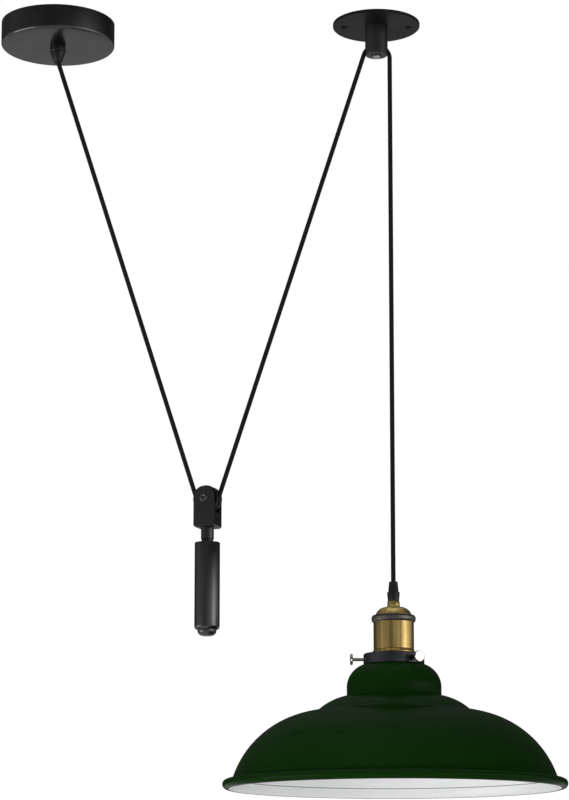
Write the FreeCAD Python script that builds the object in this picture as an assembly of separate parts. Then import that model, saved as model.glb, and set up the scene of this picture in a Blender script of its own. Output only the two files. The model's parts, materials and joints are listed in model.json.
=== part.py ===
"""Rise and fall pendant: rose, hook, counterweight on a grooved wheel, and lamp on one flex.

Millimetres. The ceiling is the plane Z = 0 and everything hangs below it. The origin is the centre of the
rose's two screw holes. +X runs from the rose to the hook, and the viewer stands on the -Y side.
"""

import FreeCAD, Part

import math
import os
from FreeCAD import Vector

# --- layout under the ceiling ---
hook_distance = 339.0        # rose centre to hook centre
axle_drop = 514.0            # ceiling to the wheel's axle
lamp_drop = 600.0            # ceiling to the top of the lamp's cord grip
bracket_turn = 20.0          # the counterweight hangs turned this far about the vertical, in degrees

# --- flex ---
cord_diameter = 4.8
cord_slack = 0.1             # radial room round the flex in grips and nipples
passage_slack = 0.5          # radial room round the flex in the hook's passage
cord_break = 0.4             # gap between two stretches of flex that move apart
cord_tail_length = 2.0       # flex past the end of the rose's nipple
hook_bend_radius = 14.0      # flex centreline over the hook's passage
hook_bend_sink = 3.2         # the bend's centre lies this far under the boss
grip_bend_radius = 14.0      # flex centreline as it leaves the rose's grip
grip_mouth_depth = 4.2       # the grip's flared mouth, in which the flex starts to bend

# --- fits and cuts ---
thread_slack = 0.05          # radial room between a thread's outside and its hole
past = 1.0                   # how far a cut runs past the face it opens
slot_width = 1.2             # screwdriver slots
slot_depth = 1.0

# --- rose ---
rose_diameter = 120.0
rose_height = 25.5
sheet_wall = 1.2
rose_edge_radius = 2.6
strap_length = 100.0
strap_width = 18.0
strap_thickness = 2.0
strap_dish = 9.0             # how far the strap's middle hangs below the ceiling
strap_middle_length = 42.0
strap_ramp_length = 6.0
rose_screw_spacing = 66.0
ceiling_screw_hole = 5.0
nipple_diameter = 10.0
nut_across_flats = 14.0
nut_thickness = 3.0
nipple_wall = 2.0
nipple_stand_out = 0.6       # the nipple's end past the upper nut
nipple_collar_gap = 1.0      # between the nipple's lower end and the collar's foot
rose_collar_diameter = 16.6
rose_collar_height = 5.5
rose_cone_height = 11.4
rose_cone_top_diameter = 15.6
rose_cone_tip_diameter = 8.4
rose_cone_shoulder = 1.2
grip_chamfer = 0.6
grip_wall = 0.7

# --- terminal block on the strap's arm ---
arm_length = 46.0
arm_margin = 1.0             # the arm's end past the terminal block
block_length = 27.0
block_width = 16.0
block_height = 10.5
pole_count = 3
pole_pitch = 8.0
wire_hole_diameter = 3.2
wire_hole_rise = 1.0         # above the block's middle
block_fillet = 0.8
terminal_screw_diameter = 3.4
terminal_screw_length = 3.6
terminal_screw_sink = 0.6    # the screws' slots below the wells' mouths
terminal_slot_width = 0.8
earth_screw_offset = 15.0
earth_screw_diameter = 4.0
earth_head_diameter = 7.6
earth_head_height = 2.6
earth_head_chamfer = 1.0
earth_screw_length = 5.0

# --- hook ---
plate_diameter = 92.4
plate_thickness = 3.2
plate_chamfer = 0.5
hook_screw_spacing = 68.0
hook_screw_hole = 5.0
countersink_diameter = 8.0
boss_diameter = 24.0
boss_bottom_drop = 34.8      # ceiling to the boss's lower face
boss_chamfer = 1.0
plate_screw_diameter = 5.0
plate_screw_head = 9.0
plate_screw_length = 14.0
lock_screw_diameter = 4.0
lock_head_diameter = 8.4
lock_head_height = 3.3
lock_recess_diameter = 9.8
lock_recess_depth = 1.5
lock_head_gap = 0.3          # the head stands this far off its recess when the flex is clamped
lock_tip_gap = 0.3           # between the tip and the flex, which bulges to meet it
lock_tip_chamfer = 0.4
lock_head_chamfer = 0.5

# --- counterweight ---
cord_wheel_radius = 11.2     # flex centreline round the wheel
wheel_radius = 13.8
wheel_width = 12.6
groove_gap = 0.4             # between the flex and the wheel's groove
groove_flare = 1.9           # the groove's walls open by this much at the rim, each side
flange_width = 1.6           # raised rim of the wheel's dished faces
wheel_dish = 1.2
wheel_chamfer = 0.5
hub_wall = 1.4
bush_diameter = 9.0
axle_diameter = 5.0
axle_slack = 0.05            # radial running clearance of the bush on the axle
washer_thickness = 0.5
washer_diameter = 9.0
washer_gap = 0.1
cheek_thickness = 3.9
bracket_width = 22.8
arch_rise = 1.2              # the cheeks' round top is centred this far above the axle
bracket_bottom_drop = 30.2   # axle to the bracket's lower face
fork_floor_gap = 1.0         # between the flex under the wheel and the fork's floor
bracket_corner = 2.0
bracket_chamfer = 1.2
axle_head_diameter = 9.0
axle_head_height = 2.4
axle_head_rim = 0.6          # upright edge of the button head
axle_head_crown = 0.12       # bulge of its round part, as a share of its length
hex_key = 3.0
hex_key_depth = 1.5
axle_nut_flats = 8.0
axle_nut_thickness = 3.6
axle_stand_out = 0.8         # the screw's end past its nut
neck_diameter = 13.4
neck_height = 15.1
neck_groove = 0.8
neck_groove_top = 3.4        # from the weight's top
neck_groove_foot = 0.6
rod_diameter = 8.0
rod_depth = 10.0             # thread engagement in the bracket
weight_diameter = 26.1
weight_height = 90.0
weight_chamfer = 2.6
weight_top_chamfer = 0.6
end_cap_diameter = 19.4
end_cap_height = 6.7
end_cap_rim = 2.7            # upright part of the domed nut
end_cap_flat = 8.7           # diameter of its flat
end_cap_crown = 0.16

# --- lamp holder ---
lamp_cone_height = 10.9
lamp_cone_top_diameter = 8.8
lamp_cone_bottom_diameter = 11.0
lamp_collar_height = 9.7
lamp_collar_top_diameter = 13.0
lamp_collar_bottom_diameter = 11.6
lamp_collar_chamfer = 0.4
holder_nipple_diameter = 8.4
holder_nipple_gap = 1.0      # between the nipple's upper end and the collar's top
cap_neck_diameter = 12.8
cap_neck_height = 4.8
cap_diameter = 36.8
cap_height = 9.8             # dome below the neck, down to the knurled ring's top
cap_wall = 0.9
cap_neck_chamfer = 0.6
cap_flare_width = 1.6
cap_flare_height = 1.2
cap_flare_crown = 0.2
cap_dome_crown = 0.17
cap_skirt_rise = 0.8         # the cap's upright skirt above the knurled ring
cap_skirt_lift = 1.0         # and its end above the ring's foot
ring_diameter = 45.4
ring_height = 7.0
ring_chamfer = 1.0
shell_diameter = 41.4
shell_height = 32.5
shell_wall = 0.8
shell_lip = 0.7
shell_lip_height = 2.6
shell_lip_shoulder = 1.0     # height of the lip's sloping top
shell_lip_crown = 0.15
shell_lip_bulge = 0.3
insert_roof = 8.0            # thickness of ceramic over the lamp thread
insert_slack = 0.1
insert_rise = 4.0            # the insert's top above the knurled ring's foot
lamp_thread_radius = 13.6    # inside of the lamp's screw shell
screw_shell_wall = 0.4
screw_shell_length = 22.5
screw_shell_gap = 0.5        # between the centre contact's tip and the screw shell
contact_diameter = 9.0
contact_height = 4.0
contact_depth = 1.0          # sunk into the insert's roof
contact_tip_diameter = 4.5
terminal_length = 9.0
terminal_width = 6.0
terminal_height = 6.0
terminal_offset = 9.0

# --- gallery and thumbscrews ---
gallery_diameter = 62.3
gallery_height = 10.4
gallery_wall = 2.0
gallery_plate = 1.0
gallery_chamfer = 0.8
gallery_nut_diameter = 48.0
gallery_nut_height = 2.0
thumbscrew_count = 3
first_thumbscrew_angle = -56.4
thumbscrew_diameter = 3.2
thumbscrew_head_diameter = 11.4
thumbscrew_head_thickness = 2.2
thumbscrew_chamfer = 0.4
thumbscrew_reach = 44.6      # lamp axis to the outer face of the head
thumbscrew_drop = 5.9        # gallery's top to the screws' axes
thumbscrew_seat = 6.6        # width of the dished seat round each screw
thumbscrew_seat_depth = 1.0
tip_gap = 0.3                # between a screw's tip and the shade's neck

# --- shade ---
shade_wall = 0.8
fitter_diameter = 57.2       # over the neck's lip
fitter_neck_diameter = 54.4
fitter_lip_height = 0.9
fitter_top_gap = 0.2         # between the neck's lip and the ring nut
shoulder_gap = 0.3           # between the gallery's edge and the shade
first_tier_start = 61.0
first_tier_diameter = 96.6
first_tier_curve_height = 25.3
first_tier_height = 32.7
second_tier_end = 158.6
second_tier_height = 15.5
bowl_diameter = 329.0
bowl_height = 67.2
rim_diameter = 350.0
rim_bead_diameter = 9.6
rim_drop = 6.8               # bowl's edge to the middle of the rolled bead
rim_roll = 190.0             # how far the sheet rolls round, in degrees past the rim's outermost side
first_tier_sag = 0.177       # height of each tier's curve over its chord
second_tier_sag = 0.075
bowl_sag = 0.15


# ---------------------------------------------------------------- worked-out values

cord_radius = cord_diameter / 2
hook_bend_drop = boss_bottom_drop + hook_bend_sink
rose_tip_drop = rose_height + rose_collar_height + rose_cone_height
wheel_seen_radius = cord_wheel_radius * math.cos(math.radians(bracket_turn))


def leg_lean():
    """Lean of both flex legs from the vertical, at which the weight hangs in balance between them."""
    across = hook_distance - grip_bend_radius
    down = 2 * axle_drop - grip_bend_drop - hook_bend_drop
    offset = hook_bend_radius + 2 * wheel_seen_radius - grip_bend_radius
    return math.acos(offset / math.hypot(across, down)) - math.atan2(down, across)


grip_bend_drop = rose_tip_drop - grip_mouth_depth
lean = leg_lean()
axle_x = grip_bend_radius + (
    wheel_seen_radius - grip_bend_radius + (axle_drop - grip_bend_drop) * math.sin(lean)
) / math.cos(lean)
lamp_x = hook_distance + hook_bend_radius
insert_radius = cap_diameter / 2 - cap_wall - insert_slack
cap_bore = holder_nipple_diameter / 2
grip_bore = cord_radius + cord_slack

lamp_top = -lamp_drop
lamp_collar_top = lamp_top - lamp_cone_height
cap_top = lamp_collar_top - lamp_collar_height
cap_dome_top = cap_top - cap_neck_height
ring_top = cap_dome_top - cap_height
ring_bottom = ring_top - ring_height
shell_bottom = ring_bottom - shell_height
gallery_top = shell_bottom
gallery_bottom = gallery_top - gallery_height
insert_top = ring_bottom + insert_rise
gallery_nut_top = gallery_top - gallery_plate
insert_bottom = gallery_nut_top - gallery_nut_height
thread_roof = insert_top - insert_roof
fitter_top = insert_bottom - fitter_top_gap
shade_top = gallery_bottom - shoulder_gap


# ---------------------------------------------------------------- shape helpers


def at(radius, z):
    """A point of an outline, in the plane Y = 0."""
    return Vector(radius, 0, z)


def crown(start, end, share):
    """The middle of an arc that bulges to the left of start-end by a share of its length."""
    chord = end - start
    side = Vector(-chord.z, 0, chord.x)
    return (start + end) / 2 + side * share


def path(points):
    """Edges through the points: a line to each point, or an arc where an item is (middle, end)."""
    edges = []
    last = points[0]
    for item in points[1:]:
        if isinstance(item, tuple):
            middle, end = item
            edges.append(Part.Arc(last, middle, end).toShape())
        else:
            end = item
            edges.append(Part.LineSegment(last, end).toShape())
        last = end
    return Part.Wire(edges)


def turned(points, x=0.0):
    """The closed outline turned about the vertical line through x."""
    face = Part.Face(path(points + [points[0]]))
    solid = face.revolve(Vector(0, 0, 0), Vector(0, 0, 1), 360)
    solid.translate(Vector(x, 0, 0))
    return solid


def rod(radius, top, bottom, x=0.0, y=0.0):
    """An upright cylinder between two heights."""
    return Part.makeCylinder(radius, top - bottom, Vector(x, y, bottom))


def tube(radius, bore, top, bottom, x=0.0, y=0.0):
    return rod(radius, top, bottom, x, y).cut(rod(bore, top + past, bottom - past, x, y))


def block(low, high):
    """A box between two corners."""
    size = high - low
    return Part.makeBox(size.x, size.y, size.z, low)


def hexagon(across_flats, top, bottom, x=0.0, y=0.0):
    """An upright hexagonal prism."""
    corner = across_flats / math.sqrt(3)
    points = [
        Vector(x + corner * math.cos(math.radians(60 * i)), y + corner * math.sin(math.radians(60 * i)), bottom)
        for i in range(7)
    ]
    return Part.Face(Part.makePolygon(points)).extrude(Vector(0, 0, top - bottom))


def nut(across_flats, hole_radius, top, bottom, x=0.0):
    """A hexagon nut with both faces chamfered to a circle."""
    corner = across_flats / math.sqrt(3)
    flat = across_flats / 2
    slope = (corner - flat) / 2
    barrel = turned(
        [
            at(0, top),
            at(flat, top),
            at(corner, top - slope),
            at(corner, bottom + slope),
            at(flat, bottom),
            at(0, bottom),
        ],
        x,
    )
    return hexagon(across_flats, top, bottom, x).common(barrel).cut(rod(hole_radius, top + past, bottom - past, x))


def sweep_round(radius, wire):
    """A round bar along a wire."""
    start = wire.Edges[0]
    direction = start.tangentAt(start.FirstParameter)
    circle = Part.makeCircle(radius, start.valueAt(start.FirstParameter), direction)
    return wire.makePipeShell([Part.Wire(circle)], True, False)


def round_bar(radius, start, end):
    """A straight round bar between two points."""
    run = end - start
    return Part.makeCylinder(radius, run.Length, start, run)


def fused(shapes):
    return shapes[0].multiFuse(shapes[1:]).removeSplitter()


# ---------------------------------------------------------------- rose


def mounting_strap():
    """A flat strip whose middle is dished away from the ceiling, with an arm for the terminal block."""
    end = strap_length / 2
    flat = strap_middle_length / 2
    foot = flat + strap_ramp_length
    half = strap_width / 2
    outline = [
        Vector(-end, -half, 0),
        Vector(-foot, -half, 0),
        Vector(-flat, -half, -strap_dish),
        Vector(flat, -half, -strap_dish),
        Vector(foot, -half, 0),
        Vector(end, -half, 0),
        Vector(end, -half, -strap_thickness),
        Vector(foot, -half, -strap_thickness),
        Vector(flat, -half, -strap_dish - strap_thickness),
        Vector(-flat, -half, -strap_dish - strap_thickness),
        Vector(-foot, -half, -strap_thickness),
        Vector(-end, -half, -strap_thickness),
    ]
    strip = Part.Face(Part.makePolygon(outline + outline[:1])).extrude(Vector(0, strap_width, 0))
    arm = block(
        Vector(-half, 0, -strap_dish - strap_thickness),
        Vector(half, arm_length, -strap_dish),
    )
    strap = fused([strip, arm])
    strap = strap.cut(rod(nipple_diameter / 2 + thread_slack, past, -strap_dish - strap_thickness - past))
    for side in (-1, 1):
        x = side * rose_screw_spacing / 2
        strap = strap.cut(rod(ceiling_screw_hole / 2, past, -strap_thickness - past, x))
    return strap.cut(rod(earth_screw_diameter / 2, 0, -strap_dish - strap_thickness - past, -earth_screw_offset))


def strap_nuts():
    hole = nipple_diameter / 2
    upper = nut(nut_across_flats, hole, -strap_dish + nut_thickness, -strap_dish)
    under = -strap_dish - strap_thickness
    lower = nut(nut_across_flats, hole, under, under - nut_thickness)
    return Part.makeCompound([upper, lower])


def rose_nipple():
    radius = nipple_diameter / 2
    top = -strap_dish + nut_thickness + nipple_stand_out
    return tube(radius, radius - nipple_wall, top, -rose_height - rose_collar_height + nipple_collar_gap)


def rose_cup():
    """A shallow spun cup, open to the ceiling, with a rolled lower edge."""
    outer = rose_diameter / 2
    inner = outer - sheet_wall
    edge = rose_edge_radius
    inner_edge = edge - sheet_wall
    bend = math.sqrt(0.5)
    hole = nipple_diameter / 2 + 2 * thread_slack
    bottom = -rose_height
    floor = bottom + sheet_wall
    outer_mid = at(outer - edge + edge * bend, bottom + edge - edge * bend)
    inner_mid = at(inner - inner_edge + inner_edge * bend, floor + inner_edge - inner_edge * bend)
    return turned(
        [
            at(hole, floor),
            at(hole, bottom),
            at(outer - edge, bottom),
            (outer_mid, at(outer, bottom + edge)),
            at(outer, 0),
            at(inner, 0),
            at(inner, floor + inner_edge),
            (inner_mid, at(inner - inner_edge, floor)),
        ]
    )


def terminal_block():
    """A connector block under the strap's arm: a wire hole through each pole, and two screw wells in it."""
    top = -strap_dish - strap_thickness
    far = arm_length - arm_margin
    near = far - block_width
    body = block(
        Vector(-block_length / 2, near, top - block_height),
        Vector(block_length / 2, far, top),
    )
    body = body.makeFillet(block_fillet, [edge for edge in body.Edges if edge.BoundBox.ZMax < top - block_fillet])
    wire_z = top - block_height / 2 + wire_hole_rise
    for pole in range(pole_count):
        x = pole_x(pole)
        mouth = Vector(x, near - past, wire_z)
        body = body.cut(Part.makeCylinder(wire_hole_diameter / 2, block_width + 2 * past, mouth, Vector(0, 1, 0)))
        for y in well_places():
            body = body.cut(rod(terminal_screw_diameter / 2, wire_z, top - block_height - past, x, y))
    return body


def pole_x(pole):
    return (pole - (pole_count - 1) / 2) * pole_pitch


def well_places():
    middle = arm_length - arm_margin - block_width / 2
    return (middle - block_width / 4, middle + block_width / 4)


def terminal_screws():
    """Slotted brass screws in the wells."""
    bottom = -strap_dish - strap_thickness - block_height + terminal_screw_sink
    screws = []
    for pole in range(pole_count):
        for y in well_places():
            x = pole_x(pole)
            screw = rod(terminal_screw_diameter / 2, bottom + terminal_screw_length, bottom, x, y)
            slot = block(
                Vector(x - terminal_slot_width / 2, y - terminal_screw_diameter, bottom - past),
                Vector(x + terminal_slot_width / 2, y + terminal_screw_diameter, bottom + slot_depth),
            )
            screws.append(screw.cut(slot))
    return Part.makeCompound(screws)


def earth_screw():
    """A pan-head screw up through the strap, with its washer."""
    under = -strap_dish - strap_thickness
    head = earth_head_diameter / 2
    bottom = under - earth_head_height
    x = -earth_screw_offset
    body = turned(
        [
            at(0, under + earth_screw_length),
            at(earth_screw_diameter / 2, under + earth_screw_length),
            at(earth_screw_diameter / 2, under),
            at(head, under),
            at(head, bottom + earth_head_chamfer),
            at(head - earth_head_chamfer, bottom),
            at(0, bottom),
        ],
        x,
    )
    slot = block(
        Vector(x - head - past, -slot_width / 2, bottom - past),
        Vector(x + head + past, slot_width / 2, bottom + slot_depth),
    )
    return body.cut(slot)


def rose_grip_collar():
    bottom = -rose_height - rose_collar_height
    outer = rose_collar_diameter / 2
    return turned(
        [
            at(nipple_diameter / 2, -rose_height),
            at(outer, -rose_height),
            at(outer, bottom + grip_chamfer),
            at(outer - grip_chamfer, bottom),
            at(nipple_diameter / 2, bottom),
        ]
    )


def rose_grip_cone():
    """The tapered end of the grip, with a flared mouth in which the flex bends."""
    top = -rose_height - rose_collar_height
    tip = -rose_tip_drop
    bore = grip_bore
    mouth = rose_cone_tip_diameter / 2 - grip_wall
    return turned(
        [
            at(bore, top),
            at(rose_cone_top_diameter / 2, top),
            at(rose_cone_top_diameter / 2, top - rose_cone_shoulder),
            at(rose_cone_tip_diameter / 2, tip),
            at(mouth, tip),
            at(bore, -grip_bend_drop),
        ]
    )


# ---------------------------------------------------------------- hook


def hook_plate():
    radius = plate_diameter / 2
    plate = turned(
        [
            at(0, 0),
            at(radius, 0),
            at(radius, -plate_thickness + plate_chamfer),
            at(radius - plate_chamfer, -plate_thickness),
            at(0, -plate_thickness),
        ],
        hook_distance,
    )
    for side in (-1, 1):
        x = hook_distance + side * hook_screw_spacing / 2
        depth = (countersink_diameter - hook_screw_hole) / 2
        sink = Part.makeCone(
            countersink_diameter / 2, hook_screw_hole / 2, depth, Vector(x, 0, -plate_thickness), Vector(0, 0, 1)
        )
        plate = plate.cut(rod(hook_screw_hole / 2, past, -plate_thickness - past, x)).cut(sink)
    return plate.cut(countersunk(plate_screw_head / 2, plate_screw_diameter / 2, plate_screw_length))


def countersunk(head, shank, length):
    """The body of a countersunk screw whose flat head is flush with the ceiling."""
    return turned(
        [at(0, 0), at(head, 0), at(shank, shank - head), at(shank, -length), at(0, -length)],
        hook_distance,
    )


def plate_screw():
    screw = countersunk(plate_screw_head / 2, plate_screw_diameter / 2, plate_screw_length)
    slot = block(
        Vector(hook_distance - plate_screw_head, -slot_width / 2, -slot_depth),
        Vector(hook_distance + plate_screw_head, slot_width / 2, past),
    )
    return screw.cut(slot)


def hook_boss():
    """The round boss: a curved passage for the flex, and a tapped hole up to it for the lock screw."""
    radius = boss_diameter / 2
    bottom = -boss_bottom_drop
    boss = turned(
        [
            at(0, -plate_thickness),
            at(radius, -plate_thickness),
            at(radius, bottom + boss_chamfer),
            at(radius - boss_chamfer, bottom),
            at(0, bottom),
        ],
        hook_distance,
    )
    passage = Part.makeTorus(
        hook_bend_radius,
        cord_radius + passage_slack,
        Vector(hook_distance, 0, -hook_bend_drop),
        Vector(0, 1, 0),
    )
    cord_top = hook_bend_radius - hook_bend_drop
    boss = boss.cut(passage)
    boss = boss.cut(rod(plate_screw_diameter / 2, 0, -plate_screw_length - past, hook_distance))
    boss = boss.cut(rod(lock_screw_diameter / 2 + thread_slack, cord_top, bottom - past, hook_distance))
    return boss.cut(rod(lock_recess_diameter / 2, bottom + lock_recess_depth, bottom - past, hook_distance))


def cord_lock_screw():
    """The slotted screw that presses the flex against the top of the passage."""
    tip = hook_bend_radius - hook_bend_drop - cord_radius - lock_tip_gap
    seat = -boss_bottom_drop + lock_recess_depth - lock_head_gap
    bottom = seat - lock_head_height
    shank = lock_screw_diameter / 2
    head = lock_head_diameter / 2
    screw = turned(
        [
            at(0, tip),
            at(shank - lock_tip_chamfer, tip),
            at(shank, tip - lock_tip_chamfer),
            at(shank, seat),
            at(head, seat),
            at(head, bottom + lock_head_chamfer),
            at(head - lock_head_chamfer, bottom),
            at(0, bottom),
        ],
        hook_distance,
    )
    slot = block(
        Vector(hook_distance - head - past, -slot_width / 2, bottom - past),
        Vector(hook_distance + head + past, slot_width / 2, bottom + slot_depth),
    )
    return screw.cut(slot)


# ---------------------------------------------------------------- counterweight
# These pieces are drawn about the axle, with the axle along Y, and hung in place by hang().

fork_gap = wheel_width + 2 * (washer_thickness + washer_gap)
bracket_depth = fork_gap + 2 * cheek_thickness
fork_floor = -(cord_wheel_radius + cord_radius + fork_floor_gap)
neck_top = -bracket_bottom_drop
weight_top = neck_top - neck_height
weight_bottom = weight_top - weight_height


def hang(shape):
    """Turns a counterweight piece about the vertical and moves it to where the weight hangs."""
    shape.rotate(Vector(0, 0, 0), Vector(0, 0, 1), -bracket_turn)
    shape.translate(Vector(axle_x, 0, -axle_drop))
    return shape


def along_axle(radius, start, end):
    """A cylinder on the axle between two Y values."""
    return Part.makeCylinder(radius, end - start, Vector(0, start, 0), Vector(0, 1, 0))


def weight_bracket():
    """A block slotted from above into two cheeks with round tops."""
    half = bracket_width / 2
    front = -bracket_depth / 2
    corner = bracket_corner
    outline = path(
        [
            Vector(half, front, arch_rise),
            (Vector(0, front, arch_rise + half), Vector(-half, front, arch_rise)),
            Vector(-half, front, neck_top + corner),
            Vector(-half + corner, front, neck_top),
            Vector(half - corner, front, neck_top),
            Vector(half, front, neck_top + corner),
            Vector(half, front, arch_rise),
        ]
    )
    body = Part.Face(outline).extrude(Vector(0, bracket_depth, 0))
    slot = block(
        Vector(-half - past, -fork_gap / 2, fork_floor),
        Vector(half + past, fork_gap / 2, arch_rise + half + past),
    )
    body = body.cut(slot).cut(along_axle(axle_diameter / 2, front - past, -front + past))
    body = body.cut(rod(rod_diameter / 2, neck_top + rod_depth, neck_top - past))
    lower = [
        edge
        for edge in body.Edges
        if edge.BoundBox.ZMax < neck_top + corner and edge.BoundBox.XLength > half and edge.BoundBox.YLength < corner
    ]
    return hang(body.makeChamfer(bracket_chamfer, lower))


def pulley_wheel():
    """A wheel with a round groove, dished faces and a hub bored for its bush."""
    groove = cord_radius + groove_gap
    half = wheel_width / 2
    edge = groove + groove_flare
    bush = bush_diameter / 2
    hub = bush + hub_wall
    flange = wheel_radius - flange_width
    rim = wheel_radius - wheel_chamfer
    outline = [
        at(bush, half),
        at(hub, half),
        at(hub, half - wheel_dish),
        at(flange, half - wheel_dish),
        at(flange, half),
        at(rim, half),
        at(wheel_radius, half - wheel_chamfer),
        at(wheel_radius, edge),
        at(cord_wheel_radius, groove),
        (at(cord_wheel_radius - groove, 0), at(cord_wheel_radius, -groove)),
        at(wheel_radius, -edge),
        at(wheel_radius, -half + wheel_chamfer),
        at(rim, -half),
        at(flange, -half),
        at(flange, -half + wheel_dish),
        at(hub, -half + wheel_dish),
        at(hub, -half),
        at(bush, -half),
    ]
    wheel = turned(outline)
    wheel.rotate(Vector(0, 0, 0), Vector(1, 0, 0), 90)
    return hang(wheel)


def wheel_bush():
    half = wheel_width / 2
    bush = along_axle(bush_diameter / 2, -half, half)
    return hang(bush.cut(along_axle(axle_diameter / 2 + axle_slack, -half - past, half + past)))


def wheel_washers():
    """One washer against the inside of each cheek."""
    washers = []
    for side in (-1, 1):
        outer = side * fork_gap / 2
        inner = side * (fork_gap / 2 - washer_thickness)
        low, high = min(outer, inner), max(outer, inner)
        disc = along_axle(washer_diameter / 2, low, high)
        washers.append(hang(disc.cut(along_axle(axle_diameter / 2, low - past, high + past))))
    return Part.makeCompound(washers)


def axle_screw():
    """A button-head screw through both cheeks; its shank is the wheel's axle."""
    face = -bracket_depth / 2
    head = axle_head_diameter / 2
    rim = at(head, axle_head_rim)
    flat = at(hex_key, axle_head_height)
    shank = along_axle(axle_diameter / 2, face, bracket_depth / 2 + axle_nut_thickness + axle_stand_out)
    button = turned(
        [
            at(0, 0),
            at(head, 0),
            rim,
            (crown(rim, flat, -axle_head_crown), flat),
            at(0, axle_head_height),
        ]
    )
    button = button.cut(hexagon(hex_key, axle_head_height + past, axle_head_height - hex_key_depth))
    button.rotate(Vector(0, 0, 0), Vector(1, 0, 0), 90)
    button.translate(Vector(0, face, 0))
    return hang(fused([shank, button]))


def axle_nut():
    face = bracket_depth / 2
    shape = nut(axle_nut_flats, axle_diameter / 2, axle_nut_thickness, 0)
    shape.rotate(Vector(0, 0, 0), Vector(1, 0, 0), -90)
    shape.translate(Vector(0, face, 0))
    return hang(shape)


def weight_neck():
    """A spacer between bracket and weight, with a shallow groove near its foot."""
    radius = neck_diameter / 2
    bore = rod_diameter / 2
    groove_top = weight_top + neck_groove_top
    groove_foot = weight_top + neck_groove_foot
    return hang(
        turned(
            [
                at(bore, neck_top),
                at(radius, neck_top),
                at(radius, groove_top),
                at(radius - neck_groove, groove_top - neck_groove),
                at(radius - neck_groove, groove_foot + neck_groove),
                at(radius, groove_foot),
                at(radius, weight_top),
                at(bore, weight_top),
            ]
        )
    )


def weight_rod():
    """The threaded rod that ties bracket, neck, weight and end cap together."""
    return hang(rod(rod_diameter / 2, neck_top + rod_depth, weight_bottom - end_cap_height / 2))


def weight_body():
    radius = weight_diameter / 2
    bore = rod_diameter / 2
    return hang(
        turned(
            [
                at(bore, weight_top),
                at(radius - weight_top_chamfer, weight_top),
                at(radius, weight_top - weight_top_chamfer),
                at(radius, weight_bottom + weight_chamfer),
                at(radius - weight_chamfer / 2, weight_bottom),
                at(bore, weight_bottom),
            ]
        )
    )


def weight_end_cap():
    """The domed nut under the weight."""
    radius = end_cap_diameter / 2
    bore = rod_diameter / 2
    bottom = weight_bottom - end_cap_height
    dome_start = at(radius, weight_bottom - end_cap_rim)
    dome_end = at(end_cap_flat / 2, bottom)
    return hang(
        turned(
            [
                at(bore, weight_bottom),
                at(radius, weight_bottom),
                dome_start,
                (crown(dome_start, dome_end, -end_cap_crown), dome_end),
                at(0, bottom),
                at(0, weight_bottom - end_cap_height / 2),
                at(bore, weight_bottom - end_cap_height / 2),
            ]
        )
    )


# ---------------------------------------------------------------- lamp holder


def lamp_grip_cone():
    bore = grip_bore
    return turned(
        [
            at(bore, lamp_top),
            at(lamp_cone_top_diameter / 2, lamp_top),
            at(lamp_cone_bottom_diameter / 2, lamp_collar_top),
            at(bore, lamp_collar_top),
        ],
        lamp_x,
    )


def lamp_grip_collar():
    bore = cap_bore
    top = lamp_collar_top_diameter / 2
    return turned(
        [
            at(bore, lamp_collar_top),
            at(top - lamp_collar_chamfer, lamp_collar_top),
            at(top, lamp_collar_top - lamp_collar_chamfer),
            at(lamp_collar_bottom_diameter / 2, cap_top),
            at(bore, cap_top),
        ],
        lamp_x,
    )


def cap_nipple():
    """The hollow thread that holds grip, cap and insert in line."""
    return tube(cap_bore, grip_bore, lamp_collar_top - holder_nipple_gap, insert_top, lamp_x)


def brass_cap():
    """A spun cap: neck, flare and dome, ending in a flange under the knurled ring's top edge."""
    neck = cap_neck_diameter / 2
    radius = cap_diameter / 2
    wall = cap_wall
    flare = at(neck + cap_flare_width, cap_dome_top - cap_flare_height)
    edge = at(radius, ring_top + cap_skirt_rise)
    inner_flare = at(flare.x - wall, flare.z - wall)
    inner_edge = at(radius - wall, edge.z)
    foot = ring_bottom + cap_skirt_lift
    flare_start = at(neck, cap_dome_top)
    return turned(
        [
            at(cap_bore, cap_top),
            at(neck - cap_neck_chamfer, cap_top),
            at(neck, cap_top - cap_neck_chamfer),
            flare_start,
            (crown(flare_start, flare, -cap_flare_crown), flare),
            (crown(flare, edge, cap_dome_crown), edge),
            at(radius, foot),
            at(radius - wall, foot),
            inner_edge,
            (crown(inner_edge, inner_flare, -cap_dome_crown), inner_flare),
            at(cap_bore, inner_flare.z),
        ],
        lamp_x,
    )


def knurled_ring():
    """The locking ring that joins cap and shell."""
    outer = ring_diameter / 2
    bore = cap_diameter / 2
    step = ring_chamfer
    return turned(
        [
            at(bore, ring_top),
            at(outer - step, ring_top),
            at(outer, ring_top - step),
            at(outer, ring_bottom + step),
            at(outer - step, ring_bottom),
            at(bore, ring_bottom),
        ],
        lamp_x,
    )


def holder_shell():
    """The brass skirt round the insert, with a rolled lip at its foot."""
    outer = shell_diameter / 2
    inner = outer - shell_wall
    lip = outer + shell_lip
    lip_top = at(outer, shell_bottom + shell_lip_height)
    shoulder = at(lip, lip_top.z - shell_lip_shoulder)
    bulge = at(lip + shell_lip_bulge, (shoulder.z + shell_bottom) / 2)
    return turned(
        [
            at(inner, ring_bottom),
            at(outer, ring_bottom),
            lip_top,
            (crown(lip_top, shoulder, shell_lip_crown), shoulder),
            (bulge, at(lip, shell_bottom)),
            at(insert_radius + insert_slack, shell_bottom),
            at(insert_radius + insert_slack, shell_bottom + shell_wall),
            at(inner, shell_bottom + shell_wall),
        ],
        lamp_x,
    )


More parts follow.
